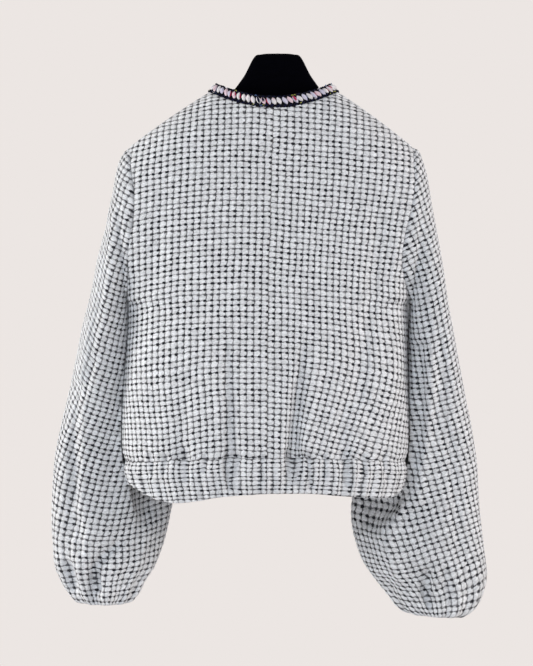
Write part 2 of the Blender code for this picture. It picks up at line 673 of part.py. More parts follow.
def hanger():
    """The hanger: rounded sections between its top and underside, from one end to the other."""
    half = np.concatenate([np.linspace(0, 30, 3), np.linspace(34, 59, 5), np.linspace(72, 174, 9)]) * MM
    stations = np.concatenate([-half[:0:-1], half])
    build = bmesh.new()
    sections = []
    for x in stations:
        top, underside, depth = (
            float(through(HANGER["across"], HANGER[name], abs(x)))
            for name in ("top", "underside", "half_depth")
        )
        middle, height = (top + underside) / 2, (top - underside) / 2
        section = []
        for turn in np.linspace(0, 2 * math.pi, 13)[:-1]:
            sine, cosine = math.sin(turn), math.cos(turn)
            power = 2 / HANGER_SQUARENESS
            y = depth * math.copysign(abs(cosine) ** power, cosine)
            z = middle + height * math.copysign(abs(sine) ** power, sine)
            section.append(build.verts.new((x, y, z)))
        sections.append(section)
    count = len(sections[0])
    for a, b in zip(sections, sections[1:]):
        for j in range(count):
            build.faces.new([a[j], a[(j + 1) % count], b[(j + 1) % count], b[j]])
    build.faces.new(sections[0])
    build.faces.new(sections[-1][::-1])
    bmesh.ops.recalc_face_normals(build, faces=build.faces)
    mesh = bpy.data.meshes.new("hanger")
    build.to_mesh(mesh)
    build.free()
    made = shown("hanger", mesh, "velvet")

    bpy.ops.mesh.primitive_cylinder_add(
        vertices=16, radius=SOCKET_RADIUS, depth=2 * SOCKET_DEPTH, location=(0, 0, 0)
    )
    cutter = bpy.context.object
    cutter.name = "socket_cutter"
    for owner in list(cutter.users_collection):
        owner.objects.unlink(cutter)
    bpy.data.collections["cutters"].objects.link(cutter)
    cutter.hide_render = True
    cutter.display_type = "WIRE"
    cut = made.modifiers.new("hook_socket", "BOOLEAN")
    cut.operation = "DIFFERENCE"
    cut.solver = "EXACT"
    cut.object = cutter


def main():
    for old in list(bpy.data.objects):
        bpy.data.objects.remove(old)
    collection = bpy.data.collections.new("cropped_tweed_jacket")
    bpy.context.scene.collection.children.link(collection)
    bpy.context.scene.collection.children.link(bpy.data.collections.new("cutters"))
    body_panels()
    waistband()
    sleeves()
    neck_braid()
    hanger()


main()
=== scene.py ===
"""The finished look of the cropped tweed jacket: its woven cloth, its braid, the hanger, the light.

Each cloth piece is a thin shell on the surface that its solid is lofted from, worked out here from
the same sizes, so it lies where its node lies. The frame is the solids' frame: metres, +Z up, the
jacket's front towards -Y, and the wearer's left at +X.
"""

import math

import bpy
import numpy as np
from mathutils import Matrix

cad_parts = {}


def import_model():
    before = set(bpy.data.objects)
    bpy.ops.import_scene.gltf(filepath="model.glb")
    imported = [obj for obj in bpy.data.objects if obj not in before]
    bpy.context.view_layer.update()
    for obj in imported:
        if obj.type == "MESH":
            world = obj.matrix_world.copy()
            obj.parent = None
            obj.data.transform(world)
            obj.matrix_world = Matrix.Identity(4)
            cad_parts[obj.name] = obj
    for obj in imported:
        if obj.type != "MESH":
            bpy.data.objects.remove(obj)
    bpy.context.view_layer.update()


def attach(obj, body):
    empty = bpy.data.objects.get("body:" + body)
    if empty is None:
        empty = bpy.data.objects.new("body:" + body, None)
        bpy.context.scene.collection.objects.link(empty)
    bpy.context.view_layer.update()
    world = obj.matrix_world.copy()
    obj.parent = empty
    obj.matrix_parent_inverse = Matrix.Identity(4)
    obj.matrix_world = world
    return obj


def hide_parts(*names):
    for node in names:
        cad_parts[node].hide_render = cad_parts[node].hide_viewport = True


MM = 0.001
LEFT, RIGHT = 1, -1  # the wearer's sides, as signs of X
BACK, FRONT = 1, -1  # as signs of Y
X, Y, Z = 0, 1, 2
EVERY = slice(None)
SIDE_NAMES = {LEFT: "left", RIGHT: "right"}
FACE_NAMES = {BACK: "back", FRONT: "front"}

# ---------------------------------------------------------------- the solids' sizes

# In metres where no unit is named.
WALL = 2.0 * MM
SEAM_GAP = 0.05 * MM  # the woven edges all but meet
FRONT_GAP = 2.0 * MM
NECK_POINT_Z = -52 * MM
BACK_NECK_Z = -77 * MM
FRONT_NECK_Z = -137 * MM
FRONT_NECK_POWER = 2.6  # of the front neckline's curve, where the back's is 2
SHOULDER_TIP_Z = -126 * MM
UNDERARM_Z = -335 * MM
WAIST_SEAM_Z = -541 * MM
WAIST_SEAM_SIDE_DROP = 9 * MM
NECK_HALF = 87 * MM
SHOULDER_HALF = 191.5 * MM
ARMHOLE_BULGE = {BACK: 50 * MM, FRONT: 54 * MM}
SHOULDER_ROLL = 50 * MM
SHOULDER_CURVE = 0.14  # the share of the shoulder seam's fall that is curved
FLATTENED_BY = 0.35  # the share of the way up the armhole where the section has become flat
SIDE_SQUARENESS = 2.6
DEPTH_SQUARENESS = 2.1


def table(columns, *rows):
    """A dict with one array in metres for each named column, from rows in millimetres."""
    return {name: np.array(values) * MM for name, values in zip(columns.split(), zip(*rows))}


BODY = table(
    "height half_left half_right back_depth front_depth shift",
    (-625, 180, 178, 79, 77, 14),
    (-590, 185, 181, 84, 82, 14),
    (-546, 194, 189, 88, 86, 14),
    (-500, 196, 191, 88, 86, 14),
    (-450, 194, 190, 86, 85, 14),
    (-400, 190, 188.5, 83, 83, 13.5),
    (-335, 188, 187, 78, 79, 12.5),
    (-310, 188, 182.5, 76, 77, 12),
    (-284, 188, 176, 74, 74, 11.5),
    (-254, 186, 177.5, 71, 71, 10.5),
    (-215, 181, 186, 67, 65, 9.5),
    (-180, 184, 190, 62.5, 60, 8),
    (-155, 188, 189, 59, 57, 7.5),
    (-126, 193, 188.5, 55, 54, 6.5),
    (-77, 193, 188.5, 48, 48, 5),
    (-40, 193, 188.5, 42, 42, 4),
)
HEM = table(
    "share back_left back_right front",
    (0, -588, -588, -588),
    (350, -593, -588.5, -589),
    (500, -598, -591, -590),
    (700, -601, -594, -591),
    (850, -594, -596, -590),
    (950, -584, -594.5, -587),
    (1000, -578, -587, -583),
)
FOLD_COLUMNS = "top_x low_x top_z low_z depth half_width"
BODY_FOLDS = {
    BACK: table(
        FOLD_COLUMNS,
        (62, 64, -380, -552, 8, 13),
        (-38, -19, -370, -552, 8, 13),
        (-140, -98, -205, -470, 4.5, 17),
        (158, 165, -190, -300, 3, 12),
        (120, 128, -430, -556, 3.5, 11),
        (-88, -84, -450, -556, 3.5, 10),
    ),
    FRONT: table(
        FOLD_COLUMNS,
        (78, 70, -360, -552, 7, 14),
        (-52, -46, -380, -552, 7, 13),
        (140, 112, -230, -450, 4, 17),
        (-122, -96, -240, -470, 4, 17),
    ),
}
FOLD_FADE = 30 * MM
GATHER_LENGTH = 24 * MM
GATHER_DEPTH = 2.4 * MM
GATHER_DRIFT = 5 * MM
BAND_DEPTH = 50 * MM
BAND_BULGE = 2.0 * MM

SLEEVE_COLUMNS = "outer_x outer_y outer_z inner_x inner_y inner_z half_depth"
SLEEVE = {
    LEFT: table(
        SLEEVE_COLUMNS,
        (198.0, 0, -126, 200.8, 0, -335, 52),
        (205.5, 0, -132, 204, -8, -343, 52),
        (213, 0, -145, 202, -20, -354, 54),
        (218, 0, -164, 200, -30, -367, 56),
        (224, 0, -197, 198, -38, -382, 58),
        (233, 0, -237, 196, -44, -401, 60),
        (243, 0, -278, 194, -50, -424, 61),
        (252, -2, -322, 191, -57, -450, 62),
        (264, -4, -366, 185, -64, -478, 62),
        (273, -8, -411, 174, -72, -508, 62),
        (283, -14, -456, 161, -78, -541, 61),
        (294, -21, -501, 150, -82, -574, 60),
        (303, -26, -546, 145, -82, -605, 59),
        (307, -32, -590, 149, -76, -632, 58),
        (308.5, -36, -632, 155, -70, -660, 57),
        (307.5, -40, -664, 162, -64, -682, 56),
        (305.5, -43, -692, 170, -59, -702, 53),
        (297, -45, -714, 182, -55, -719, 48),
        (285, -47, -734, 192, -51, -737, 46),
        (270, -48, -746, 205, -48, -746.5, 40),
        (254, -48, -741, 219, -48, -741.5, 30),
    ),
    RIGHT: table(
        SLEEVE_COLUMNS,
        (185.0, 0, -126, 175.8, 0, -335, 52),
        (191, 0, -132, 180, -8, -343, 52),
        (196.5, 0, -146, 179, -20, -354, 54),
        (202.5, 0, -168, 177, -30, -367, 56),
        (207.5, 0, -200, 175, -38, -382, 58),
        (215, 0, -241, 173, -44, -401, 60),
        (223, 0, -286, 171, -50, -424, 61),
        (229.5, -2, -331, 167, -57, -450, 62),
        (238, -4, -376, 159, -64, -478, 62),
        (246.5, -8, -421, 147, -72, -508, 62),
        (255.5, -14, -466, 130, -78, -541, 61),
        (265, -21, -511, 113, -82, -576, 60),
        (272, -26, -556, 104, -82, -608, 59),
        (275, -32, -601, 103, -76, -638, 58),
        (279, -36, -641, 108, -70, -664, 57),
        (284, -40, -678, 118, -64, -692, 56),
        (286.5, -43, -708, 134, -59, -716, 53),
        (281, -45, -733, 153, -55, -738, 48),
        (270, -47, -754, 166, -51, -753, 47),
        (253, -48, -765.5, 183, -48, -760, 40),
        (237, -48, -760, 201, -48, -755.5, 30),
    ),
}
LAST_RING = len(SLEEVE[LEFT]["outer_x"]) - 1
LAST_FULL_RING = 19  # the creases and gathers fade below this one
SLEEVE_SQUARENESS = 2.3
SQUARED_FROM, SQUARED_OVER = 1, 6  # the rings over which the section grows squarer
SETTLED_FROM, SETTLED_OVER = 2, 3  # the rings over which the creases begin
BODY_CLEARANCE = 1.0 * MM
CLEARED_TO_Z = -612 * MM
CLEARED_FADE = 45 * MM
BACK_SEAM, FRONT_SEAM = 60, 240  # degrees round each sleeve
# Each crease: the angles of its top and its low end, their heights, its depth and its half angle.
CREASES = {
    LEFT: (
        (57, 56, -400, -560, 6.0, 13),
        (56, 40, -560, -728, 7.0, 12),
        (92, 74, -655, -745, 7.5, 11),
        (122, 104, -600, -690, 3.5, 14),
        (18, 26, -330, -520, 2.5, 16),
        (150, 140, -640, -740, 3.5, 13),
        (268, 282, -430, -640, 5.0, 15),
        (300, 312, -560, -735, 5.0, 13),
        (246, 250, -620, -742, 5.0, 12),
    ),
    RIGHT: (
        (86, 86, -390, -590, -3.5, 11),
        (66, 68, -380, -520, 3.0, 12),
        (118, 128, -560, -700, -5.0, 14),
        (150, 152, -590, -720, 3.5, 16),
        (100, 96, -690, -762, 9.0, 10),
        (48, 62, -640, -750, 3.0, 13),
        (262, 276, -430, -640, 5.0, 15),
        (302, 296, -540, -745, 5.0, 13),
        (236, 244, -640, -752, 5.0, 12),
    ),
}
CUFF_GATHERS = 11
CUFF_GATHER_DEPTH = 3.0 * MM
GATHERS_FROM, GATHERS_FULL = 14.5, 18.5  # rings
CUFF_HEIGHT = 5 * MM
CUFF_RIPPLE = 0.6 * MM

BRAID_WIDTH = 13 * MM
BRAID_GAP = 0.6 * MM
BRAID_LEAN = (14, 47)

HANGER = table(
    "across top underside half_depth",
    (0, 0, -96, 17),
    (22, -1.3, -96, 17),
    (30, -3.5, -96, 17),
    (34, -9, -96, 17),
    (38.5, -18, -96, 17),
    (43.5, -28, -96, 17),
    (50.5, -38.5, -97, 16.5),
    (58, -48.5, -98, 15.5),
    (66, -57, -100, 14.5),
    (76, -63.5, -104, 14),
    (90, -68, -109, 15),
    (115, -80, -119, 18),
    (140, -99, -131, 19.5),
    (158, -114, -140, 20),
    (168, -123, -143, 18),
    (173, -130, -141, 12),
)
HANGER_SQUARENESS = 2.6
SOCKET_RADIUS = 3 * MM
SOCKET_DEPTH = 20 * MM

# ---------------------------------------------------------------- the sizes of the look

# The weave: columns of one width, and rows in pairs, a taller one and a shorter one.
COLUMN = 9.2 * MM
TALL_ROW, SHORT_ROW = 8.4 * MM, 6.3 * MM
PUFF = 1.3 * MM  # how far a block of ribbon stands out of the grooves round it
MEAN_PUFF = 0.66  # the share of it at which the cloth's middle lies
# How deep the cloth dips at each kind of seam, and how far from the seam the dip goes.
WAIST_DIP = (2.4 * MM, 7.0 * MM)
ARMHOLE_DIP = (1.8 * MM, 4.0 * MM)
PANEL_DIP = (0.3 * MM, 4.0 * MM)  # at the centre back, side and shoulder seams
SLEEVE_DIP = (0.1 * MM, 4.0 * MM)
WAIST_WANDER = 1.6 * MM  # how far the waist's seam wanders up and down
WAIST_WANDER_REACH = 16 * MM
BACK_SPACING = 1.6 * MM  # of the grid on the pieces seen from behind
OTHER_SPACING = 1.9 * MM
INSIDE_STRIDE = 4  # the plain inside has one point for this many outside
ARMHOLE_PLANE = (0, EVERY, X)

# The rows of the back fall towards the wearer's right, and droop towards both sides.
ROW_SLOPE = 0.075
LEFT_DROOP, RIGHT_DROOP = 0.8, 0.15  # per metre, times the square of the distance
FRONT_DROOP = 0.45
# The cloth sags over the waistband at the left back, and is drawn askew over it at the right back.
SAG_DEPTH, SAG_X, SAG_HALF_WIDTH = 9 * MM, 148 * MM, 45 * MM
SAG_TOP, SAG_LENGTH = -373 * MM, 90 * MM
SKEW_SLOPE, SKEW_FROM_X = 0.17, -30 * MM  # of the rows, and where it begins
SKEW_TOP, SKEW_LENGTH = -335 * MM, 180 * MM
SKEW_LEAN = 0.8  # of the columns, times the square of the distance below SKEW_TOP in metres
LEAN_FROM_X, LEAN_OVER = -5 * MM, 35 * MM
UPRIGHT = 0.4  # how much less they lean towards the side seam
UPRIGHT_FROM_X, UPRIGHT_OVER = -100 * MM, 50 * MM
TIGHTENED = 0.08  # how much closer the right back's columns stand under the arm
TIGHT_FROM_Z, TIGHT_OVER = -130 * MM, 200 * MM
SLACK, SLACK_OVER = 1.2, 100 * MM  # below the arm they stand a little wider again
CENTRE_MISMATCH = 1.5 * MM  # between the rows of the two halves of the body
DRAWN_IN = 0.07  # how much closer the columns stand at the waistband, where the elastic draws it
DRAWN_OVER = 110 * MM
DRAWN_FROM_Z = WAIST_SEAM_Z + DRAWN_OVER + 10 * MM
BAND_FULLNESS = 1.04
BAND_ROWS = 1.25  # how much closer the waistband's rows stand
BAND_ROW_SHIFT = 3 * MM  # for each step of the seed, so that the bands' rows differ
BAND_CLOSER = 0.9 * MM  # how far the columns move into each gather
CUFF_RADIUS = 34 * MM

# The rows of each sleeve: their tilts on its outer and its body side, in millimetres per metre,
# upwards away from the body, and the distance from the middle where one turns into the other.
ROWS_COLUMNS = "height outer_tilt body_tilt turn_x"
SLEEVE_ROWS = {
    LEFT: table(
        ROWS_COLUMNS,
        (-760, 60, -120, 222),
        (-700, 80, -160, 222),
        (-640, 240, -220, 224),
        (-580, 420, -160, 226),
        (-520, 500, 100, 226),
        (-450, 480, 400, 224),
        (-340, 560, 560, 222),
        (-220, 520, 520, 215),
        (-126, 480, 480, 205),
    ),
    RIGHT: table(
        ROWS_COLUMNS,
        (-760, 100, -160, 210),
        (-727, 200, -160, 190),
        (-700, 330, -170, 172),
        (-672, 350, -150, 164),
        (-645, 330, -100, 166),
        (-620, 310, -80, 174),
        (-587, 290, -60, 190),
        (-540, 290, -20, 200),
        (-450, 340, 200, 196),
        (-380, 440, 440, 196),
        (-300, 470, 470, 196),
        (-220, 520, 520, 194),
        (-126, 520, 520, 186),
    ),
}
STEADY_X = {LEFT: 215 * MM, RIGHT: 205 * MM}  # where a change of tilt leaves the rows in place
TILT_BLEND = {LEFT: 16 * MM, RIGHT: 10 * MM}
# Where the left sleeve turns away, its rows run steeply up: by FACET_TILT more, past FACET_X.
FACET_Z = np.array([-560, -480, -450, -420, -380, -340, -290, -240, -190]) * MM
FACET_X = np.array([330, 267, 257, 246, 241, 233, 227, 222, 219]) * MM
FACET_TILT = 0.62
FACET_BLEND = 3 * MM
# There the ribbon's blocks hide part of the dots and of the yarn between the columns.
HIDING_BLEND = 9 * MM
MOST_HIDDEN = 0.45
HIDDEN_TO_Z, HIDING_FADE = -500 * MM, 70 * MM
SLEEVE_LEAN = 0.28  # how much the rows fall towards the back, fading into the balloon
LEAN_FROM_Z, LEAN_FADE = -400 * MM, 300 * MM
SLEEVE_SWING = 0.09  # how far the sleeve's middle goes forward for each metre down
# How far the columns have moved out from the body at each height, in millimetres.
COLUMN_LEAN = {
    LEFT: ((-760, 70), (-660, 70), (-540, 46), (-360, 19), (-126, 0)),
    RIGHT: ((-760, 104), (-520, 56), (-470, 49), (-300, 35), (-126, 0)),
}
# The columns and the rows to a metre of each sleeve, against those of the body.
SLEEVE_COLUMN_SCALE = {LEFT: 0.98, RIGHT: 0.93}
SLEEVE_ROW_SCALE = 0.95
ROWS_EASED = {LEFT: -0.08, RIGHT: 0.05}  # how much wider the rows stand in the balloon
ROWS_EASED_Z = -560 * MM
LAST_FALLING_RING = 18
LAST_FULL_Z = {LEFT: -690 * MM, RIGHT: -705 * MM}  # below this the columns are only drawn closer

BACKGROUND = (0.8388, 0.7913, 0.7682)  # linear, of the pale studio
CLOTH_WHITE = (0.765, 0.785, 0.82)
CLOTH_BLACK = (0.010, 0.010, 0.016)
VELVET_BLACK = (0.0007, 0.0007, 0.0018)
# The yarn: its dots and the strands between the rows and the columns, in shares of a block.
DOT_ASIDE = 0.09
DOT_HALF_WIDTH, DOT_HALF_HEIGHT = 0.25, 0.23
WEFT_THICKNESS, WEFT_WAVE = 0.125, 0.07
WARP_WAVE = 0.045

# Folds placed on the body's back and front and on each face of each sleeve: depth and half
# width in millimetres, then points of X and Z along the fold. A negative depth is a ridge.
FOLDS = {
    BACK: (
        (3.6, 6, (66, -392), (61, -478), (57, -552), (58, -574)),
        (-2.1, 8, (79, -408), (77, -480), (72, -543)),
        (-1.4, 9, (46, -430), (44, -500), (42, -540)),
        (4.2, 6, (-34, -398), (-26, -465), (-21, -504), (-20, -548), (-22, -572)),
        (-3.0, 8, (-52, -405), (-45, -465), (-38, -530)),
        (-1.4, 8, (-10, -440), (-6, -500), (-4, -535)),
        (2.7, 10, (-134, -230), (-124, -334), (-106, -462)),
        (-2.7, 9, (-157, -250), (-155, -373), (-150, -465)),
        (1.8, 7, (-88, -470), (-80, -512), (-78, -540)),
        (2.0, 8, (-118, -478), (-128, -520)),
        (1.7, 8, (118, -440), (126, -500), (130, -545)),
        (-1.2, 9, (146, -430), (150, -520)),
        (1.4, 9, (150, -190), (158, -262)),
        (-2.7, 9, (120, -331), (190, -331)),
        (-2.7, 9, (-112, -331), (-186, -331)),
        # the waistband's gathers
        (4.3, 4.3, (169, -537), (167, -566)),
        (3.5, 3.6, (148, -539), (150, -560)),
        (4.9, 4.8, (122, -534), (120, -571)),
        (3.2, 3.6, (95, -540), (97, -558)),
        (6.1, 4.3, (66, -530), (64, -580)),
        (3.9, 3.6, (53, -538), (54, -562)),
        (3.5, 4.1, (21, -539), (19, -569)),
        (4.8, 4.1, (-16, -533), (-14, -574)),
        (4.1, 3.6, (-29, -538), (-30, -558)),
        (5.2, 4.3, (-40, -535), (-43, -580)),
        (3.6, 3.8, (-62, -539), (-60, -562)),
        (4.9, 4.6, (-88, -534), (-91, -574)),
        (3.5, 3.6, (-114, -539), (-112, -561)),
        (4.3, 4.3, (-141, -536), (-144, -570)),
    ),
    FRONT: (
        (3.6, 6, (80, -372), (74, -460), (70, -550), (71, -572)),
        (-2.2, 8, (94, -390), (90, -470), (86, -540)),
        (3.9, 6, (-54, -384), (-49, -470), (-46, -550)),
        (-2.5, 8, (-69, -390), (-65, -470), (-60, -536)),
        (2.7, 10, (142, -236), (124, -350), (112, -452)),
        (2.4, 10, (-124, -244), (-108, -360), (-96, -470)),
        (-2.0, 9, (-148, -270), (-146, -380), (-142, -470)),
        (1.8, 8, (36, -470), (32, -540)),
        (1.7, 7, (-118, -480), (-114, -540)),
        # the waistband's gathers
        (4.6, 4.3, (160, -536), (162, -566)),
        (3.6, 3.8, (133, -539), (131, -559)),
        (4.9, 4.6, (104, -535), (107, -572)),
        (3.5, 3.6, (88, -540), (87, -557)),
        (4.3, 4.1, (49, -537), (51, -570)),
        (3.2, 3.6, (30, -540), (29, -556)),
        (4.8, 4.3, (-8, -535), (-6, -566)),
        (3.5, 3.6, (-31, -540), (-33, -560)),
        (4.9, 4.3, (-74, -535), (-71, -574)),
        (3.9, 3.8, (-95, -538), (-97, -560)),
        (4.6, 4.6, (-127, -536), (-125, -570)),
        (3.5, 3.6, (-150, -539), (-152, -559)),
    ),
    (LEFT, BACK): (
        (-3.3, 7, (218, -222), (222, -294), (227, -347), (238, -400)),
        (3.6, 9, (229, -236), (238, -320), (249, -387)),
        (-4.2, 8, (238, -426), (257, -474), (262, -535), (266, -589), (269, -616)),
        (4.8, 7, (269, -449), (274, -532), (272, -610), (268, -672)),
        (2.4, 8, (206, -440), (222, -520), (224, -600)),
        (6.0, 5, (285, -692), (277, -724)),
        (7.5, 5, (217, -664), (231, -675), (245, -691), (247, -707), (243, -722)),
        (-3.6, 7, (226, -690), (234, -714), (232, -730)),
        (2.7, 8, (176, -600), (186, -660), (205, -705)),
    ),
    (LEFT, FRONT): (
        (-3.0, 8, (216, -240), (224, -330), (236, -410)),
        (3.9, 8, (256, -420), (266, -520), (262, -630)),
        (-3.6, 8, (238, -440), (246, -540), (244, -640)),
        (5.4, 6, (212, -650), (228, -690), (232, -724)),
        (3.9, 6, (276, -660), (266, -716)),
        (2.5, 8, (188, -560), (194, -650), (210, -712)),
    ),
    (RIGHT, BACK): (
        (-4.5, 7, (-203, -413), (-206, -434), (-203, -474), (-200, -507), (-195, -561), (-190, -603)),
        (-3.6, 7, (-168, -616), (-155, -630), (-149, -673), (-166, -712)),
        (5.4, 7, (-189, -396), (-192, -466), (-187, -532), (-178, -585), (-168, -600)),
        (2.7, 8, (-206, -300), (-216, -360), (-224, -440)),
        (2.7, 8, (-232, -520), (-240, -600), (-246, -680)),
        (7.5, 5, (-203, -704), (-200, -728), (-205, -748)),
        (3.9, 6, (-226, -700), (-232, -742)),
        (3.0, 8, (-126, -600), (-134, -660), (-156, -722)),
    ),
    (RIGHT, FRONT): (
        (3.9, 8, (-224, -430), (-232, -530), (-230, -640)),
        (-3.6, 8, (-206, -440), (-212, -550), (-212, -640)),
        (5.1, 6, (-180, -660), (-196, -704), (-204, -742)),
        (3.9, 6, (-258, -680), (-246, -736)),
        (2.7, 8, (-150, -560), (-154, -650), (-176, -724)),
        (2.4, 8, (-188, -280), (-196, -370)),
    ),
}

AMBIENT = 0.57  # the share of the studio's brightness that lights the object from all round
LIGHTS = (  # name, place, size, power and colour
    ("key", (1.0, 2.6, 0.7), 1.2, 15, (0.68, 0.85, 1.0)),
    ("left_side", (2.8, 0.3, 0.2), 1.2, 52, (1.0, 0.94, 0.87)),
    ("right_side", (-2.7, 0.8, 0.1), 1.2, 46, (1.0, 0.94, 0.90)),
    ("low", (0.8, 1.9, -1.5), 1.4, 24, (0.95, 0.97, 1.0)),
    ("front", (-0.9, -2.7, 1.0), 1.6, 45, (0.88, 0.94, 1.0)),
)

CAMERA_PLACE = (0.01485, 2.7, -0.3773)
CAMERA_LENS = 108.1  # mm, on a 36 mm sensor
FLOOR_Z = -1.6
FLOOR_HALF = 40.0
JACKET_MIDDLE = (0.0, 0.0, -0.38)  # where the lights point

# ---------------------------------------------------------------- the shared surfaces


def through(heights, values, at):
    """Values on a smooth curve through a table's points, which are in rising order."""
    at = np.clip(at, heights[0], heights[-1])
    slopes = np.gradient(values, heights)
    i = np.clip(np.searchsorted(heights, at) - 1, 0, len(heights) - 2)
    gap = heights[i + 1] - heights[i]
    t = (at - heights[i]) / gap
    start = (1 + 2 * t) * (1 - t) ** 2 * values[i] + t * (1 - t) ** 2 * gap * slopes[i]
    return start + t * t * (3 - 2 * t) * values[i + 1] + t * t * (t - 1) * gap * slopes[i + 1]


def body(column, height):
    return through(BODY["height"], BODY[column], height)


def half_width(side, height):
    return body("half_" + SIDE_NAMES[side], height)


def smooth(t):
    """0 up to t = 0, 1 from t = 1, and an even rise between."""
    t = np.clip(t, 0, 1)
    return t * t * (3 - 2 * t)


def stack(x, y, z):
    return np.stack(np.broadcast_arrays(x, y, z), axis=-1)


def unit(vectors):
    return vectors / np.maximum(np.linalg.norm(vectors, axis=-1, keepdims=True), 1e-12)


def folded_in(face, x, z):
    """How deep the body's troughs are at X and Z, towards the inside."""
    depth = 0
    for top_x, low_x, top_z, low_z, deep, half in zip(*BODY_FOLDS[face].values()):
        length = top_z - low_z
        down = (top_z - z) / length
        line = top_x + (low_x - top_x) * down
        grown = smooth(down) * (1 - smooth((down - 1) * length / FOLD_FADE))
        depth = depth + deep * grown * np.exp(-(((x - line) / half) ** 2))
    return depth


def section_depth(share, squareness=DEPTH_SQUARENESS):
    """Depth of the body's section at a share of its half width, as a share of its full depth."""
    return np.clip(1 - share**SIDE_SQUARENESS, 0, 1) ** (1 / squareness)


def top_height(face, lateral):
    """Height of the panel's upper edge: the neckline, then the shoulder seam."""
    neck = np.clip(lateral / NECK_HALF, 0, 1)
    centre_z, power = (BACK_NECK_Z, 2) if face == BACK else (FRONT_NECK_Z, FRONT_NECK_POWER)
    neckline = centre_z + (NECK_POINT_Z - centre_z) * neck**power
    along = np.clip((lateral - NECK_HALF) / (SHOULDER_HALF - NECK_HALF), 0, 1)
    fall = (1 - SHOULDER_CURVE) * along + SHOULDER_CURVE * along**2
    return neckline + (SHOULDER_TIP_Z - NECK_POINT_Z) * fall


def waist_height(phi):
    return WAIST_SEAM_Z - WAIST_SEAM_SIDE_DROP * np.sin(phi) ** 2


def hem_height(side, face, phi):
    column = "front" if face == FRONT else "back_" + SIDE_NAMES[side]
    return through(HEM["share"], HEM[column], np.sin(phi))


def across(side, face, share, half, shift):
    """X at a share of the half width, half a seam gap clear of the centre seam or opening."""
    centre_gap = SEAM_GAP if face == BACK else FRONT_GAP
    return shift + side * np.maximum(half * share, centre_gap / 2)


def body_section(side, face, phi, level):
    """X and Z of a point of a body panel, its depth before the shoulder rolls it in, and after."""
    share = np.sin(phi)
    up = np.clip(level - 1, 0, 1)
    climb = (1 - np.cos(math.pi * up)) / 2
    top = top_height(face, SHOULDER_HALF * share)
    low_z = waist_height(phi) + (UNDERARM_Z - waist_height(phi)) * np.clip(level, 0, 1)
    z = np.where(level <= 1, low_z, UNDERARM_Z + (top - UNDERARM_Z) * climb)
    edge_z = np.where(level <= 1, low_z, UNDERARM_Z + (SHOULDER_TIP_Z - UNDERARM_Z) * climb)
    x = across(side, face, share, half_width(side, edge_z), body("shift", z))

    full = body(FACE_NAMES[face] + "_depth", z)
    turn = np.where(level <= 1, 1, np.clip((top - z) / SHOULDER_ROLL, 0, 1))
    roll = np.sqrt(1 - (1 - turn) ** 2)
    at_neck = np.sqrt(np.clip(1 - (share * SHOULDER_HALF / NECK_HALF) ** 2, 0, 1))
    rolled = full * (at_neck + (1 - at_neck) * roll)
    edge = ARMHOLE_BULGE[face] * np.sin(math.pi * up)
    squareness = DEPTH_SQUARENESS + (1 - DEPTH_SQUARENESS) * smooth(up / FLATTENED_BY)
    shape = section_depth(share, squareness)
    return x, z, edge + (full - edge) * shape, edge + (rolled - edge) * shape


def body_point(side, face, phi, level):
    """A point on the outside of a body panel. phi runs from 0 at the centre to a quarter turn at
    the side, and level from 0 at the waist seam through 1 at the underarm to 2 at the top."""
    x, z, _, depth = body_section(side, face, phi, level)
    y = depth - folded_in(face, x, z)
    return stack(x, face * np.maximum(y, SEAM_GAP / 2), z)


def wavering(points, face):
    """Points near the waist's seam, moved up and down with it as it wanders."""
    x, z = points[..., X], points[..., Z]
    long_wave = wander(x / (17 * MM), 0 * x, 40 + face)
    short_wave = 0.6 * wander(x / (7 * MM), 0 * x, 44 + face)
    middle = WAIST_SEAM_Z - WAIST_SEAM_SIDE_DROP / 2
    near = np.exp(-(((z - middle) / WAIST_WANDER_REACH) ** 2))
    return points + stack(0, 0, WAIST_WANDER * (long_wave + short_wave) * near)


def run_along(values, axis):
    """Running totals of the steps of a list of coordinates along one axis of the grid."""
    total = np.cumsum(np.sqrt(sum(np.diff(v, axis=axis) ** 2 for v in values)), axis=axis)
    first = np.zeros_like(np.take(total, [0], axis=axis))
    return np.concatenate([first, total], axis=axis)


def girth_table():
    """Distance round the waist section from the centre, for angles from the centre to the side."""
    phi = np.linspace(0, math.pi / 2, 200)
    x = half_width(LEFT, WAIST_SEAM_Z) * np.sin(phi)
    y = body("back_depth", WAIST_SEAM_Z) * section_depth(np.sin(phi))
    return phi, run_along((x, y), 0)


GIRTH_ANGLES, GIRTHS = girth_table()


def gather(side, face, phi):
    """The waistband's gathers, as a distance outwards, even across the side and centre seams."""
    run = np.interp(phi, GIRTH_ANGLES, GIRTHS)
    run = side * (run if face == BACK else 2 * GIRTHS[-1] - run)
    run = run + GATHER_DRIFT * np.sin(run / (31 * MM)) + GATHER_DRIFT * np.sin(run / (17 * MM) + 1)
    height = 0.75 + 0.25 * np.sin(run / (23 * MM))
    return GATHER_DEPTH * height * np.sin(2 * math.pi * run / GATHER_LENGTH)


def band_point(side, face, phi, drop):
    """A point on the outside of the waistband. drop runs from 0 at its seam to 1 at the hem."""
    top = waist_height(phi) - SEAM_GAP
    z = top + (hem_height(side, face, phi) - top) * drop
    share = np.sin(phi)
    half = half_width(side, z)
    depth = body(FACE_NAMES[face] + "_depth", z) * section_depth(share)
    out = gather(side, face, phi) * smooth(drop / 0.5) + BAND_BULGE * np.sin(math.pi * drop)
    away = np.hypot(half * share, depth)
    x = across(side, face, share, half * (1 + out / away), body("shift", z))
    y = depth * (1 + out / away) - folded_in(face, x, z)
    return stack(x, face * np.maximum(y, SEAM_GAP / 2), z)


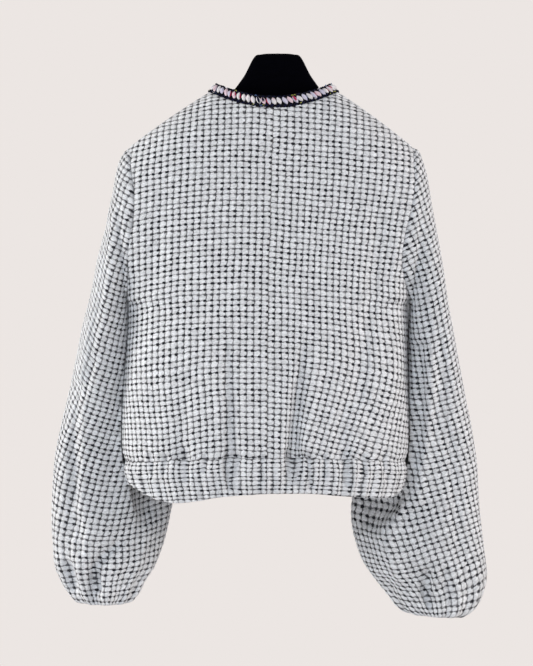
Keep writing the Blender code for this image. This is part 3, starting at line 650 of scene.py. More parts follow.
def armhole_point(side, angle):
    """A point on the armhole. angle is 0 at the shoulder tip and half a turn at the underarm."""
    middle, half = (SHOULDER_TIP_Z + UNDERARM_Z) / 2, (SHOULDER_TIP_Z - UNDERARM_Z) / 2
    z = middle + half * np.cos(angle)
    x = body("shift", z) + side * (half_width(side, z) + SEAM_GAP)
    bulge = np.where(np.sin(angle) >= 0, ARMHOLE_BULGE[BACK], ARMHOLE_BULGE[FRONT])
    return stack(x, bulge * np.sin(angle), z)


def clear_of_body(x, y, z):
    """The point, or where it has to be for the sleeve to lie just outside the body."""
    shift = body("shift", z)
    half = half_width(LEFT, z) * (x > shift) + half_width(RIGHT, z) * (x <= shift) + BODY_CLEARANCE
    depth = np.where(y > 0, body("back_depth", z), body("front_depth", z)) + BODY_CLEARANCE
    inside = (np.abs(x - shift) / half) ** SIDE_SQUARENESS + (np.abs(y) / depth) ** DEPTH_SQUARENESS
    mean_squareness = (SIDE_SQUARENESS + DEPTH_SQUARENESS) / 2
    inside = np.maximum(inside, 0.05)  # keeps a point by the middle from being thrown far out
    out = np.maximum(inside ** (-1 / mean_squareness), 1)
    below = smooth((CLEARED_TO_Z - z) / CLEARED_FADE)
    above = smooth((z - UNDERARM_Z) / CLEARED_FADE)
    out = 1 + (out - 1) * (1 - below) * (1 - above)
    return shift + (x - shift) * out, y * out


def creased(side, angle, z):
    """How far the sleeve's creases draw its surface in. Each fades in and out past its ends."""
    depth = 0
    for top_angle, low_angle, top, low, deep, half_angle in CREASES[side]:
        top_z, low_z = top * MM, low * MM
        down = (top_z - z) / (top_z - low_z)
        line = top_angle + (low_angle - top_angle) * np.clip(down, 0, 1)
        away = (np.degrees(angle) - line + 180) % 360 - 180
        along = smooth((down + 0.15) / 0.4) * smooth((1.12 - down) / 0.3)
        depth = depth + deep * MM * along * np.exp(-((away / half_angle) ** 2))
    return depth


def squarer(value, squareness):
    """A cosine or sine made squarer, for a section between an ellipse and a rectangle."""
    return np.sign(value) * np.abs(value) ** (2 / squareness)


def sleeve_sizes(side, ring):
    """A sleeve's sizes at a ring, which is a row of the sleeve's table, or between two."""
    rows = np.arange(LAST_RING + 1, dtype=float)
    return {name: through(rows, column, ring) for name, column in SLEEVE[side].items()}


def sleeve_point(side, angle, ring):
    """A point on the outside of a sleeve, at an angle round it and a ring down it."""
    at = sleeve_sizes(side, ring)
    squared = smooth((ring - SQUARED_FROM) / SQUARED_OVER)
    cosine, sine = (
        wave * (1 - squared) + squarer(wave, SLEEVE_SQUARENESS) * squared
        for wave in (np.cos(angle), np.sin(angle))
    )

    def between(axis):
        outer, inner = at["outer_" + axis], at["inner_" + axis]
        return (outer + inner) / 2 + (outer - inner) / 2 * cosine

    x, y, z = between("x"), between("y") + at["half_depth"] * sine, between("z")
    within = 1 - smooth(ring - LAST_FULL_RING)
    drawn = smooth((ring - GATHERS_FROM) / (GATHERS_FULL - GATHERS_FROM)) * within
    uneven = 0.3 * np.sin(2 * angle + side) + 0.25 * np.sin(5 * angle)
    out = CUFF_GATHER_DEPTH * drawn * np.cos(CUFF_GATHERS * angle + uneven * 2)
    settled = smooth((ring - SETTLED_FROM) / SETTLED_OVER) * within
    out = out - creased(side, angle, z) * settled
    x = side * (x + out * np.cos(angle))
    y = y + out * np.sin(angle)
    x, y = clear_of_body(x, y, z)

    joined = np.clip(ring, 0, 1)[..., None]
    return armhole_point(side, angle) * (1 - joined) + stack(x, y, z) * joined


def sleeve_radius(side, ring):
    """The lesser half width of a sleeve's ring."""
    at = sleeve_sizes(side, ring)
    wide = np.hypot(at["outer_x"] - at["inner_x"], at["outer_z"] - at["inner_z"]) / 2
    return np.minimum(wide, at["half_depth"])


def cuff_point(side, angle, drop):
    """A point on the outside of the narrow cuff, which is tucked up inside the balloon."""
    start = sleeve_point(side, angle, np.full_like(angle, LAST_RING))
    out = CUFF_RIPPLE * np.sin(CUFF_GATHERS * 2 * angle) * smooth(drop * 2)
    z = start[..., Z] - SEAM_GAP - CUFF_HEIGHT * drop
    return stack(start[..., X] + side * out * np.cos(angle), start[..., Y] + out * np.sin(angle), z)


def normals_of(point, first, second, outward, endless):
    """The surface's unit normals, from part steps of its two parameters. endless says that the
    first parameter may be carried past its ends."""
    parts = []
    for axis, values in enumerate((first, second)):
        step = 0.3 * np.abs(np.diff(values, axis=1 - axis)).min()  # less than half the finest gap
        low, high = values - step, values + step
        if axis == 1 or not endless:
            low, high = np.maximum(low, values.min()), np.minimum(high, values.max())
        ends = [(v, second) if axis == 0 else (first, v) for v in (low, high)]
        parts.append(point(*ends[1]) - point(*ends[0]))
    return outward * unit(np.cross(parts[0], parts[1]))


# ---------------------------------------------------------------- the weave


def folds(lines, base):
    """The depth at each point of folds placed along lines of X and Z, uneven in depth and width."""
    at = base[..., [X, Z]] / MM
    depth = 0
    for number, (deep, wide, *points) in enumerate(lines):
        nearest = np.full(at.shape[:-1], np.inf)
        for start, end in zip(np.array(points[:-1], float), np.array(points[1:], float)):
            along = end - start
            share = np.clip((at - start) @ along / (along @ along), 0, 1)
            away = np.linalg.norm(at - start - share[..., None] * along, axis=-1)
            nearest = np.minimum(nearest, away)
        uneven = 1 + 0.3 * wander(at[..., 1] / 28, 0 * nearest, 80 + number)
        depth = depth + deep * uneven * np.exp(-((nearest / (wide * uneven)) ** 2))
    return depth * MM


def lattice(i, j, seed):
    """A repeatable number from 0 to 1 for each pair of whole numbers."""
    mixed = np.sin(i * 127.1 + j * 311.7 + seed * 74.7) * 43758.5453
    return mixed - np.floor(mixed)


def wander(x, y, seed):
    """Smooth noise from -1 to 1 that changes over about one unit."""
    i, j = np.floor(x), np.floor(y)
    s, t = smooth(x - i), smooth(y - j)
    low = lattice(i, j, seed) * (1 - s) + lattice(i + 1, j, seed) * s
    high = lattice(i, j + 1, seed) * (1 - s) + lattice(i + 1, j + 1, seed) * s
    return 2 * (low * (1 - t) + high * t) - 1


def row_number(height):
    """The row, with its fraction, at a height up the cloth."""
    pair = np.floor(height / (TALL_ROW + SHORT_ROW))
    within = height - pair * (TALL_ROW + SHORT_ROW)
    tall = within < TALL_ROW
    return 2 * pair + np.where(tall, within / TALL_ROW, 1 + (within - TALL_ROW) / SHORT_ROW)


def woven(along, up, seed):
    """Column and row numbers on the cloth from distances across and up it, a little uneven."""
    column = along / COLUMN
    row = row_number(up)
    drift = 0.10 * wander(column * 0.23, row * 0.19, seed)
    drift = drift + 0.05 * wander(column * 0.9, row * 0.8, seed + 1)
    dip = 0.12 * wander(column * 0.31, row * 0.23, seed + 2) + 0.05 * wander(column, row, seed + 3)
    return column + drift, row + dip


def puffs(column, row):
    """How far the ribbon stands out at a place on the cloth, from 0 in the grooves to 1."""
    over = np.abs(np.sin(math.pi * column)) ** 0.7
    up = np.abs(np.sin(math.pi * row)) ** 0.7
    return 0.4 * up + 0.6 * over * up


def panel_weave(side, face, phi, level, seed):
    """The column and row numbers of a body panel: drooping on the front, and askew on the back."""
    x, z, depth, _ = body_section(side, face, phi, level)
    drawn = 1 + DRAWN_IN * smooth((DRAWN_FROM_Z - z) / DRAWN_OVER)
    along = side * run_along((x, depth), 1) * drawn
    rolled = body_point(side, face, phi, level)[..., Y]
    inner = 1 - smooth((np.sin(phi) - 0.45) / 0.5)  # by the armholes the rows keep to their level
    up = waist_height(phi) - WAIST_SEAM_Z + run_along((z,), 0)
    up = up + (run_along((z, rolled), 0) - run_along((z,), 0)) * inner
    from_middle = x - body("shift", z)
    if face == FRONT:
        droop = FRONT_DROOP * from_middle**2
    elif side == LEFT:
        near = np.exp(-(((x - SAG_X) / SAG_HALF_WIDTH) ** 2))
        sag = SAG_DEPTH * near * smooth((SAG_TOP - z) / SAG_LENGTH)
        droop = LEFT_DROOP * from_middle**2 - ROW_SLOPE * from_middle + sag
    else:
        reach = np.maximum(SKEW_FROM_X - x, 0)
        droop = RIGHT_DROOP * from_middle**2 - ROW_SLOPE * from_middle
        droop = droop + SKEW_SLOPE * reach * smooth((SKEW_TOP - z) / SKEW_LENGTH)
        tight = smooth((TIGHT_FROM_Z - z) / TIGHT_OVER)
        tight = tight - SLACK * smooth((UNDERARM_Z - z) / SLACK_OVER)
        lean = smooth((LEAN_FROM_X - x) / LEAN_OVER)
        lean = lean - UPRIGHT * smooth((UPRIGHT_FROM_X - x) / UPRIGHT_OVER)
        lean = SKEW_LEAN * lean * np.maximum(SKEW_TOP - z, 0) ** 2
        along = along * (1 + TIGHTENED * tight) - lean
    mismatch = CENTRE_MISMATCH * (side == RIGHT)
    return woven(along, up + droop + mismatch, seed)


def band_weave(side, face, phi, drop, seed):
    """The column and row numbers of the waistband, its columns a little closer in each gather."""
    run = side * np.interp(phi, GIRTH_ANGLES, GIRTHS)
    height = hem_height(side, face, phi) - waist_height(phi)
    run = run + BAND_CLOSER * np.sin(2 * math.pi * run / GATHER_LENGTH)
    return woven(run * BAND_FULLNESS, height * drop * BAND_ROWS + seed * BAND_ROW_SHIFT, seed)


def row_rise(side, z, out):
    """How far a sleeve's rows have risen, at Z and at a distance out from the middle."""
    rows = SLEEVE_ROWS[side]
    names = ("outer_tilt", "body_tilt", "turn_x")
    outer, inner, turn = (through(rows["height"], rows[name], z) for name in names)
    blend = TILT_BLEND[side]
    rise = outer * (out - STEADY_X[side])
    rise = rise + (outer - inner) * blend * np.logaddexp(0, -(out - turn) / blend)
    if side == LEFT:
        beyond = (out - through(FACET_Z, FACET_X, z)) / FACET_BLEND
        rise = rise + FACET_TILT * FACET_BLEND * np.logaddexp(0, beyond)
    return rise


def level_runs(side):
    """Distances round a sleeve's level sections from its outermost line: heights, angles, runs."""
    angles = np.radians(np.arange(FRONT_SEAM - 360, FRONT_SEAM + 1, 3.0))
    points = sleeve_point(side, *np.meshgrid(angles, np.linspace(0, LAST_FALLING_RING, 300)))[::-1]
    heights = np.arange(LAST_FULL_Z[side], SHOULDER_TIP_Z, 4 * MM)
    sections = []
    for axis in (X, Y):
        lines = [np.interp(heights, points[:, i, Z], points[:, i, axis]) for i in range(len(angles))]
        sections.append(np.stack(lines, axis=1))
    run = run_along(sections, 1)
    return heights, angles, run - run[:, [np.argmin(np.abs(angles))]]


def read_table(rows, columns, values, row, column):
    """A table's values at places between its evenly spaced rows and columns."""
    row = np.clip((row - rows[0]) / (rows[1] - rows[0]), 0, len(rows) - 1.001)
    column = np.clip((column - columns[0]) / (columns[1] - columns[0]), 0, len(columns) - 1.001)
    i, j = row.astype(int), column.astype(int)
    s, t = row - i, column - j
    low = values[i, j] * (1 - t) + values[i, j + 1] * t
    high = values[i + 1, j] * (1 - t) + values[i + 1, j + 1] * t
    return low * (1 - s) + high * s


def hidden_yarn(side, angle, ring):
    """How far the ribbon's blocks hide the yarn, from 0 to 1, on the left sleeve's turned strip."""
    base = sleeve_point(side, angle, ring)
    edge = through(FACET_Z, FACET_X, base[..., Z])
    past = smooth((side * base[..., X] - edge) / HIDING_BLEND)
    behind = smooth((np.sin(angle) + 0.3) / 0.3)  # only on the half of it that is seen from behind
    return past * behind * smooth((base[..., Z] - HIDDEN_TO_Z) / HIDING_FADE)


def sleeve_weave(side, angle, ring, runs):
    """Columns keep their distances on the level sections, and the cloth matches at the back seam."""
    base = sleeve_point(side, angle, ring)
    out, y, z = side * base[..., X], base[..., Y], base[..., Z]
    eased = ROWS_EASED[side] * np.maximum(ROWS_EASED_Z - z, 0)
    forward = SLEEVE_LEAN * (1 - smooth((LEAN_FROM_Z - z) / LEAN_FADE))
    forward = forward * (y + SLEEVE_SWING * (UNDERARM_Z - z))
    up = SLEEVE_ROW_SCALE * (z + eased - row_rise(side, z, out) + forward)
    heights, lean = np.array(COLUMN_LEAN[side]).T * MM
    along = SLEEVE_COLUMN_SCALE[side] * read_table(*runs, z, angle) + np.interp(z, heights, lean)
    return woven(-side * along, up, 10 + side)


def cuff_weave(side, angle, drop, seed):
    return woven(side * angle * CUFF_RADIUS, -drop * CUFF_HEIGHT, seed)


# ---------------------------------------------------------------- meshes


def mesh_of(name, points, faces):
    """A mesh from an array of points and a list of arrays of faces, one array for each size."""
    mesh = bpy.data.meshes.new(name)
    corners = np.concatenate([part.ravel() for part in faces])
    sizes = np.concatenate([np.full(len(part), part.shape[1]) for part in faces])
    mesh.vertices.add(len(points))
    mesh.vertices.foreach_set("co", points.astype(np.float32).ravel())
    mesh.loops.add(len(corners))
    mesh.loops.foreach_set("vertex_index", corners.astype(np.int32))
    mesh.polygons.add(len(sizes))
    mesh.polygons.foreach_set("loop_start", (np.cumsum(sizes) - sizes).astype(np.int32))
    mesh.update(calc_edges=True)
    mesh.validate()
    mesh.shade_smooth()
    return mesh


def give(mesh, name, kind, field, *values):
    """Stores a value for each point of a mesh, for its material to read."""
    layer = mesh.attributes.new(name, kind, "POINT")
    flat = np.concatenate([part.ravel() for part in values])
    layer.data.foreach_set(field, flat.astype(np.float32))


def added(name, mesh, material):
    made = bpy.data.objects.new(name, mesh)
    bpy.context.scene.collection.objects.link(made)
    mesh.materials.append(material)
    return made


def skin(rows, columns, start, ring):
    """The faces between the points of a grid whose first point is number start."""
    i = np.arange(rows - 1)[:, None]
    j = np.arange(columns if ring else columns - 1)[None, :]
    k = (j + 1) % columns
    corners = (i * columns + j, i * columns + k, (i + 1) * columns + k, (i + 1) * columns + j)
    return start + np.stack(np.broadcast_arrays(*corners), axis=-1).reshape(-1, 4)


def rim(outer, inner, forward):
    """Faces from each run of INSIDE_STRIDE steps of an outside edge to one step inside."""
    faces = []
    for i in range(len(inner) - 1):
        run = list(outer[i * INSIDE_STRIDE : (i + 1) * INSIDE_STRIDE + 1])
        face = run + [inner[i + 1], inner[i]]
        faces.append(face if forward else face[::-1])
    return np.array(faces)


def shell_mesh(name, outer, inner, outward, ring):
    """A closed thin shell between a fine outside grid and a coarse inside one."""
    faces, edges, count = [], [], 0
    for grid in (outer, inner):
        rows, columns = grid.shape[:2]
        faces.append(skin(rows, columns, count, ring))
        numbers = count + np.arange(rows * columns).reshape(rows, columns)
        edges.append(np.concatenate([numbers, numbers[:, :1]], axis=1) if ring else numbers)
        count += rows * columns
    faces[1] = faces[1][:, ::-1]
    outside, inside = edges
    if not ring:
        faces.append(rim(outside[:, 0], inside[:, 0], True))
        faces.append(rim(outside[:, -1], inside[:, -1], False))
    faces.append(rim(outside[0], inside[0], False))
    faces.append(rim(outside[-1], inside[-1], True))
    if outward < 0:
        faces = [part[:, ::-1] for part in faces]
    return mesh_of(name, np.concatenate([outer.reshape(-1, 3), inner.reshape(-1, 3)]), faces)


def from_edge(grid, axis, end):
    """The distance of each point of a grid from one of its edges."""
    run = run_along(np.moveaxis(grid, -1, 0), axis)
    return run if end == 0 else np.take(run, [-1], axis=axis) - run


def cloth_piece(
    name, seed, point, weave, firsts, seconds, outward, planes=(), sewn=(), crease=None, hides=None,
    ring=False, endless=False
):
    """A woven shell on the surface point(first, second), where weave gives the columns and rows.

    outward is 1 or -1, whichever turns the normals out. planes are the rows and columns whose wall
    keeps to a seam's plane, with the plane's axis. sewn are the edges that are seams: the grid's
    axis and end, and the seam's dip. crease gives the depth of the folds that are placed one by one,
    and hides how far the yarn is hidden. ring closes the grid on itself, and endless says that the
    surface carries on past the grid's ends. Pieces with one seed match where they are sewn.
    """
    first, second = np.meshgrid(firsts, seconds)
    base = point(first, second)
    normals = normals_of(point, first, second, outward, endless or ring)
    column, row = weave(first, second)
    lift = PUFF * (puffs(column, row) - MEAN_PUFF)
    for axis, end, (dip, reach) in sewn:
        lift = lift - dip * np.exp(-((from_edge(base, axis, end) / reach) ** 2))
    if crease is not None:
        lift = lift - crease(base, normals)
    if ARMHOLE_PLANE in planes:  # the surface turns too sharply there to measure
        normals[0] = normals[3]
    for rows, columns, axis in planes:
        normals[rows, columns, axis] = 0
    normals = unit(normals)
    outer = base + normals * lift[..., None]
    pick = (slice(None, None, INSIDE_STRIDE),) * 2
    inner = base[pick] - normals[pick] * (WALL - np.minimum(lift[pick], 0)[..., None])
    mesh = shell_mesh(name, outer, inner, outward, ring)
    cloth = np.stack([column, row, np.full(column.shape, float(seed))], axis=-1)
    hidden = np.zeros(column.shape) if hides is None else hides(first, second)
    give(mesh, "cloth", "FLOAT_VECTOR", "vector", cloth, cloth[pick])
    give(mesh, "hidden_yarn", "FLOAT", "value", hidden, hidden[pick])
    return added(name, mesh, bpy.data.materials["woven_tweed"])


def steps(length, spacing):
    """A number of steps of about that spacing, in whole inside strides."""
    return max(1, round(length / spacing / INSIDE_STRIDE)) * INSIDE_STRIDE


# ---------------------------------------------------------------- the cloth pieces


def body_panel(side, face, phis, levels, planes):
    """One back or front, by its name."""
    name = f"{FACE_NAMES[face]}_{SIDE_NAMES[side]}"
    seed = 1 if face == BACK else 2 + (side == RIGHT)
    sewn = [(0, 0, WAIST_DIP), (0, -1, PANEL_DIP), (1, -1, PANEL_DIP)]
    if face == BACK:
        sewn.append((1, 0, PANEL_DIP))

    def point(phi, level):
        return wavering(body_point(side, face, phi, level), face)

    def weave(phi, level):
        return panel_weave(side, face, phi, level, seed)

    def crease(base, _):
        return folds(FOLDS[face], base)

    piece = cloth_piece(
        f"woven_{name}", seed, point, weave, phis, levels, -side * face, planes, sewn, crease
    )
    return {name: piece}


def body_panels():
    """The two backs and fronts. A column of the grid lies where the neck meets the shoulder seam."""
    girth = GIRTHS[-1]
    neck_girth = np.interp(math.asin(NECK_HALF / SHOULDER_HALF), GIRTH_ANGLES, GIRTHS)
    made = {}
    for face, spacing in ((BACK, BACK_SPACING), (FRONT, OTHER_SPACING)):
        first = np.linspace(0, neck_girth, steps(neck_girth, spacing) + 1)[:-1]
        rest = np.linspace(neck_girth, girth, steps(girth - neck_girth, spacing) + 1)
        phis = np.interp(np.concatenate([first, rest]), GIRTHS, GIRTH_ANGLES)
        low = np.linspace(0, 1, steps(UNDERARM_Z - WAIST_SEAM_Z, spacing) + 1)[:-1]
        # The climb is a little longer than its height, as it leans in to the shoulder.
        climb = np.linspace(0, 1, steps(1.15 * (SHOULDER_TIP_Z - UNDERARM_Z), spacing) + 1)
        levels = np.concatenate([low, 1 + np.arccos(1 - 2 * climb) / math.pi])
        planes = (
            (0, EVERY, Z),
            (EVERY, 0, X),
            (slice(0, len(low) + 1), -1, Y),
            (-1, slice(len(first), None), Y),
        )
        for side in (LEFT, RIGHT):
            made.update(body_panel(side, face, phis, levels, planes))
    return made


def waistband():
    """The waistband's back, in one piece, and its two fronts."""
    made = {}
    count = steps(GIRTHS[-1], BACK_SPACING)
    phis = np.interp(np.linspace(0, GIRTHS[-1], count + 1), GIRTHS, GIRTH_ANGLES)
    drops = np.linspace(0, 1, steps(BAND_DEPTH, BACK_SPACING) + 1)

    def back(turn, drop):
        phi, left = np.abs(turn), turn > 0
        parts = [band_point(side, BACK, phi, drop) for side in (LEFT, RIGHT)]
        whole = np.where(left[..., None], *parts)
        whole[..., X] = np.where(phi < 1e-9, body("shift", whole[..., Z]), whole[..., X])
        return wavering(whole, BACK)

    def back_weave(turn, drop):
        phi = np.abs(turn)
        parts = [band_weave(side, BACK, phi, drop, 5) for side in (LEFT, RIGHT)]
        return [np.where(turn > 0, a, b) for a, b in zip(*parts)]

    def back_crease(base, _):
        return folds(FOLDS[BACK], base)

    turns = np.concatenate([-phis[:0:-1], phis])
    planes = ((0, EVERY, Z), (EVERY, 0, Y), (EVERY, -1, Y))
    waist, near, far = (0, 0, WAIST_DIP), (1, 0, PANEL_DIP), (1, -1, PANEL_DIP)
    made["waistband_back"] = cloth_piece(
        "woven_waistband_back", 5, back, back_weave, turns, drops, 1, planes, (waist, near, far),
        back_crease
    )
    for side in (LEFT, RIGHT):
        made.update(front_band(side, phis, drops, (waist, far)))
    return made


def front_band(side, phis, drops, sewn):
    """One front of the waistband, by its name."""

    def point(phi, drop):
        return wavering(band_point(side, FRONT, phi, drop), FRONT)

    def weave(phi, drop):
        return band_weave(side, FRONT, phi, drop, 6 + side)

    def crease(base, _):
        return folds(FOLDS[FRONT], base)

    name = f"waistband_front_{SIDE_NAMES[side]}"
    planes = ((0, EVERY, Z), (EVERY, 0, X), (EVERY, -1, Y))
    piece = cloth_piece(
        f"woven_{name}", 8 + side, point, weave, phis, drops, -side, planes, sewn, crease
    )
    return {name: piece}


def sleeve_piece(side, name, start, end, runs):
    """The outer or the under piece of a sleeve, between the angles of its two seams."""

    def turned(share, ring):
        gap = SEAM_GAP / sleeve_radius(side, ring)
        return start + gap + (end - start - 2 * gap) * share

    def point(share, ring):
        return sleeve_point(side, turned(share, ring), ring)

    def weave(share, ring):
        return sleeve_weave(side, turned(share, ring), ring, runs)

    def crease(base, normals):
        facing = smooth((normals[..., Y] + 0.15) / 0.5)
        behind = folds(FOLDS[side, BACK], base) * facing
        return behind + folds(FOLDS[side, FRONT], base) * smooth(0.7 - 2 * facing)

    def hides(share, ring):
        return hidden_yarn(side, turned(share, ring), ring)

    trial_rings = np.linspace(0, LAST_RING, 200)
    trial = np.moveaxis(point(*np.meshgrid(np.linspace(0, 1, 60), trial_rings)), -1, 0)
    down = run_along(trial, 0).mean(axis=1)
    around = run_along(trial, 1)[:, -1].max()
    depths = np.linspace(0, down[-1], steps(down[-1], BACK_SPACING) + 1)
    rings = np.interp(depths, down, trial_rings)
    shares = np.linspace(0, 1, steps(0.9 * around, BACK_SPACING) + 1)
    return cloth_piece(
        f"woven_{name}", 12 + side, point, weave, shares, rings, -side, (ARMHOLE_PLANE,),
        ((0, 0, ARMHOLE_DIP), (1, 0, SLEEVE_DIP), (1, -1, SLEEVE_DIP)), crease,
        hides if side == LEFT else None, endless=True
    )


def cuff_piece(side, name):
    """The plain narrow band that is tucked up inside a sleeve's balloon."""

    def point(angle, drop):
        return cuff_point(side, angle, drop)

    def weave(angle, drop):
        return cuff_weave(side, angle, drop, 18 + side)

    turns = np.linspace(0, 2 * math.pi, 129)[:-1]
    drops = np.linspace(0, 1, 5)
    return cloth_piece(f"woven_{name}", 18 + side, point, weave, turns, drops, -side, ring=True)


def sleeves():
    """Each sleeve's outer and under piece and its cuff."""
    made = {}
    back, front = math.radians(BACK_SEAM), math.radians(FRONT_SEAM)
    for side in (LEFT, RIGHT):
        word = SIDE_NAMES[side]
        runs = level_runs(side)
        for part, start, end in (("outer", front - 2 * math.pi, back), ("under", back, front)):
            name = f"sleeve_{part}_{word}"
            made[name] = sleeve_piece(side, name, start, end, runs)
        made[f"cuff_{word}"] = cuff_piece(side, f"cuff_{word}")
    return made


# ---------------------------------------------------------------- materials


class Graph:
    """Shorthand for laying out a material's nodes."""

    def __init__(self, name):
        self.material = bpy.data.materials.new(name)
        self.material.use_nodes = True
        self.tree = self.material.node_tree
        self.shader = self.tree.nodes["Principled BSDF"]

    def feed(self, socket, value):
        if isinstance(value, bpy.types.NodeSocket):
            self.tree.links.new(value, socket)
        else:
            socket.default_value = value

    def node(self, kind, **inputs):
        """A new node with its named inputs fed. A name's underscores stand for spaces."""
        node = self.tree.nodes.new("ShaderNode" + kind)
        for name, value in inputs.items():
            self.feed(node.inputs[name.replace("_", " ")], value)
        return node

    def maths(self, operation, *values):
        node = self.node("Math")
        node.operation = operation
        for socket, value in zip(node.inputs, values):
            self.feed(socket, value)
        return node.outputs[0]

    def times(self, a, b):
        return self.maths("MULTIPLY", a, b)

    def plus(self, a, b):
        return self.maths("ADD", a, b)

    def minus(self, a, b):
        return self.maths("SUBTRACT", a, b)

    def size(self, value):
        return self.maths("ABSOLUTE", value)

    def sine(self, value):
        return self.maths("SINE", value)

    def spread(self, value, width):
        """A value from 0 to 1 as a value either side of 0, width wide in all."""
        return self.times(self.minus(value, 0.5), width)

    def ramp(self, value, start, end, low, high):
        """A smooth step from low at start to high at end."""
        node = self.node("MapRange", Value=value, From_Min=start, From_Max=end, To_Min=low, To_Max=high)
        node.interpolation_type = "SMOOTHSTEP"
        return node.outputs["Result"]

    def vector(self, x, y, z):
        return self.node("CombineXYZ", X=x, Y=y, Z=z).outputs[0]

    def parts(self, vector):
        return self.node("SeparateXYZ", Vector=vector).outputs[:3]

    def noise(self, scale, detail, vector=None):
        """Smooth noise as a number and as a colour, on the object's own space without a vector."""
        node = self.node("TexNoise", Scale=scale, Detail=detail)
        if vector is not None:
            self.feed(node.inputs["Vector"], vector)
        return node.outputs["Fac"], node.outputs["Color"]

    def dice(self, x, y, z):
        """Random numbers that are the same wherever x, y and z are."""
        node = self.node("TexWhiteNoise", Vector=self.vector(x, y, z))
        return node.outputs["Value"], node.outputs["Color"]

    def mix(self, share, a, b):
        node = self.node("Mix")
        node.data_type = "RGBA"
        self.feed(node.inputs["Factor"], share)
        for name, value in (("A", a), ("B", b)):
            socket = [s for s in node.inputs if s.name == name and s.type == "RGBA"][0]
            self.feed(socket, (*value, 1.0) if isinstance(value, tuple) else value)
        return [s for s in node.outputs if s.type == "RGBA"][0]

    def scaled(self, colour, share):
        node = self.node("VectorMath")
        node.operation = "SCALE"
        self.feed(node.inputs[0], colour)
        self.feed(node.inputs["Scale"], share)
        return node.outputs[0]

    def read(self, name):
        """The outputs of a value that the mesh keeps for each of its points."""
        node = self.node("Attribute")
        node.attribute_name = name
        return node.outputs

    def finish(self, colour, roughness, specular, sheen, height, distance, strength):
        """Sets the shader, with a bump of that height."""
        self.feed(self.shader.inputs["Base Color"], colour)
        self.shader.inputs["Roughness"].default_value = roughness
        self.shader.inputs["Specular IOR Level"].default_value = specular
        self.shader.inputs["Sheen Weight"].default_value = sheen
        bump = self.node("Bump", Height=height, Distance=distance, Strength=strength)
        self.tree.links.new(bump.outputs["Normal"], self.shader.inputs["Normal"])
        return self.material


def tweed_material():
    """White ribbon in puffed blocks, with black yarn between the rows that comes up at each
    crossing as a dot, lying to one side of it. All its sizes are shares of a column or a row."""
    g = Graph("woven_tweed")
    column, row, seed = g.parts(g.read("cloth")["Vector"])
    hidden = g.read("hidden_yarn")["Fac"]
    place = g.vector(column, row, g.times(seed, 7.3))
    shake_x, shake_y, _ = g.parts(g.noise(1.1, 3.0, place)[1])
    fray_x, fray_y, _ = g.parts(g.noise(6.5, 3.0, place)[1])
    column = g.plus(column, g.plus(g.spread(shake_x, 0.26), g.spread(fray_x, 0.26)))
    row = g.plus(row, g.plus(g.spread(shake_y, 0.24), g.spread(fray_y, 0.30)))

    near_column, near_row = g.maths("ROUND", column), g.maths("ROUND", row)
    beside, above = g.minus(column, near_column), g.minus(row, near_row)
    in_column, in_row = g.maths("FLOOR", column), g.maths("FLOOR", row)

    luck, lucks = g.dice(near_column, near_row, seed)
    luck_x, luck_y, _ = g.parts(lucks)
    dot_x = g.times(g.minus(beside, g.plus(DOT_ASIDE, g.times(luck_x, 0.06))), 1 / DOT_HALF_WIDTH)
    dot_y = g.times(g.plus(above, g.spread(luck_y, 0.10)), 1 / DOT_HALF_HEIGHT)
    away = g.maths("SQRT", g.plus(g.times(dot_x, dot_x), g.times(dot_y, dot_y)))
    row_luck, _ = g.dice(0.5, near_row, seed)
    strength = g.times(g.ramp(luck, 0.0, 0.6, 0.55, 1.0), g.ramp(row_luck, 0.0, 0.6, 0.8, 1.0))
    dot = g.times(g.ramp(away, 0.85, 1.3, 1.0, 0.0), strength)

    weft_luck, _ = g.dice(in_column, near_row, g.plus(seed, 31.0))
    wave = g.sine(g.plus(g.times(column, 2 * math.pi), g.times(weft_luck, 3.0)))
    weft = g.size(g.plus(above, g.times(wave, WEFT_WAVE)))
    thick = g.minus(WEFT_THICKNESS, g.times(g.size(beside), 0.12))
    weft = g.ramp(g.maths("DIVIDE", weft, thick), 0.3, 1.5, 1.0, 0.0)
    weft = g.times(weft, g.ramp(weft_luck, 0.0, 1.0, 0.30, 0.85))

    warp_luck, _ = g.dice(near_column, in_row, g.plus(seed, 57.0))
    sway = g.sine(g.plus(g.times(row, 2 * math.pi), g.times(warp_luck, 5.0)))
    warp = g.size(g.plus(beside, g.times(sway, WARP_WAVE)))
    warp = g.times(g.ramp(warp, 0.03, 0.12, 1.0, 0.0), g.ramp(warp_luck, 0.0, 1.0, 0.35, 0.80))

    seen = g.minus(1.0, g.times(hidden, MOST_HIDDEN))
    dot, warp = g.times(dot, seen), g.times(warp, seen)
    clear = g.times(g.minus(1.0, dot), g.times(g.minus(1.0, weft), g.minus(1.0, warp)))
    dark = g.minus(1.0, clear)

    over, up = (
        g.maths("POWER", g.size(g.sine(g.times(number, math.pi))), 0.5) for number in (column, row)
    )
    puff = g.times(over, up)
    fibres, _ = g.noise(2.6, 3.0, g.vector(column, g.times(row, 3.0), seed))
    block_luck, _ = g.dice(in_column, in_row, g.plus(seed, 11.0))
    # Painted shade: the ribbon's colour falls to 0.80 of its white towards the grooves round each block,
    # where real shade would fall; the fibres and each block's luck then vary its tone at random.
    light = g.times(g.ramp(puff, 0.0, 1.0, 0.80, 1.0), g.ramp(fibres, 0.3, 0.7, 0.76, 1.12))
    light = g.times(light, g.ramp(block_luck, 0.0, 1.0, 0.93, 1.03))
    colour = g.mix(dark, g.scaled(CLOTH_WHITE, light), CLOTH_BLACK)
    height = g.plus(g.times(puff, 0.7), g.plus(g.times(fibres, 0.35), g.times(dark, -0.35)))
    return g.finish(colour, 0.95, 0.2, 0.15, height, 1.0 * MM, 0.8)


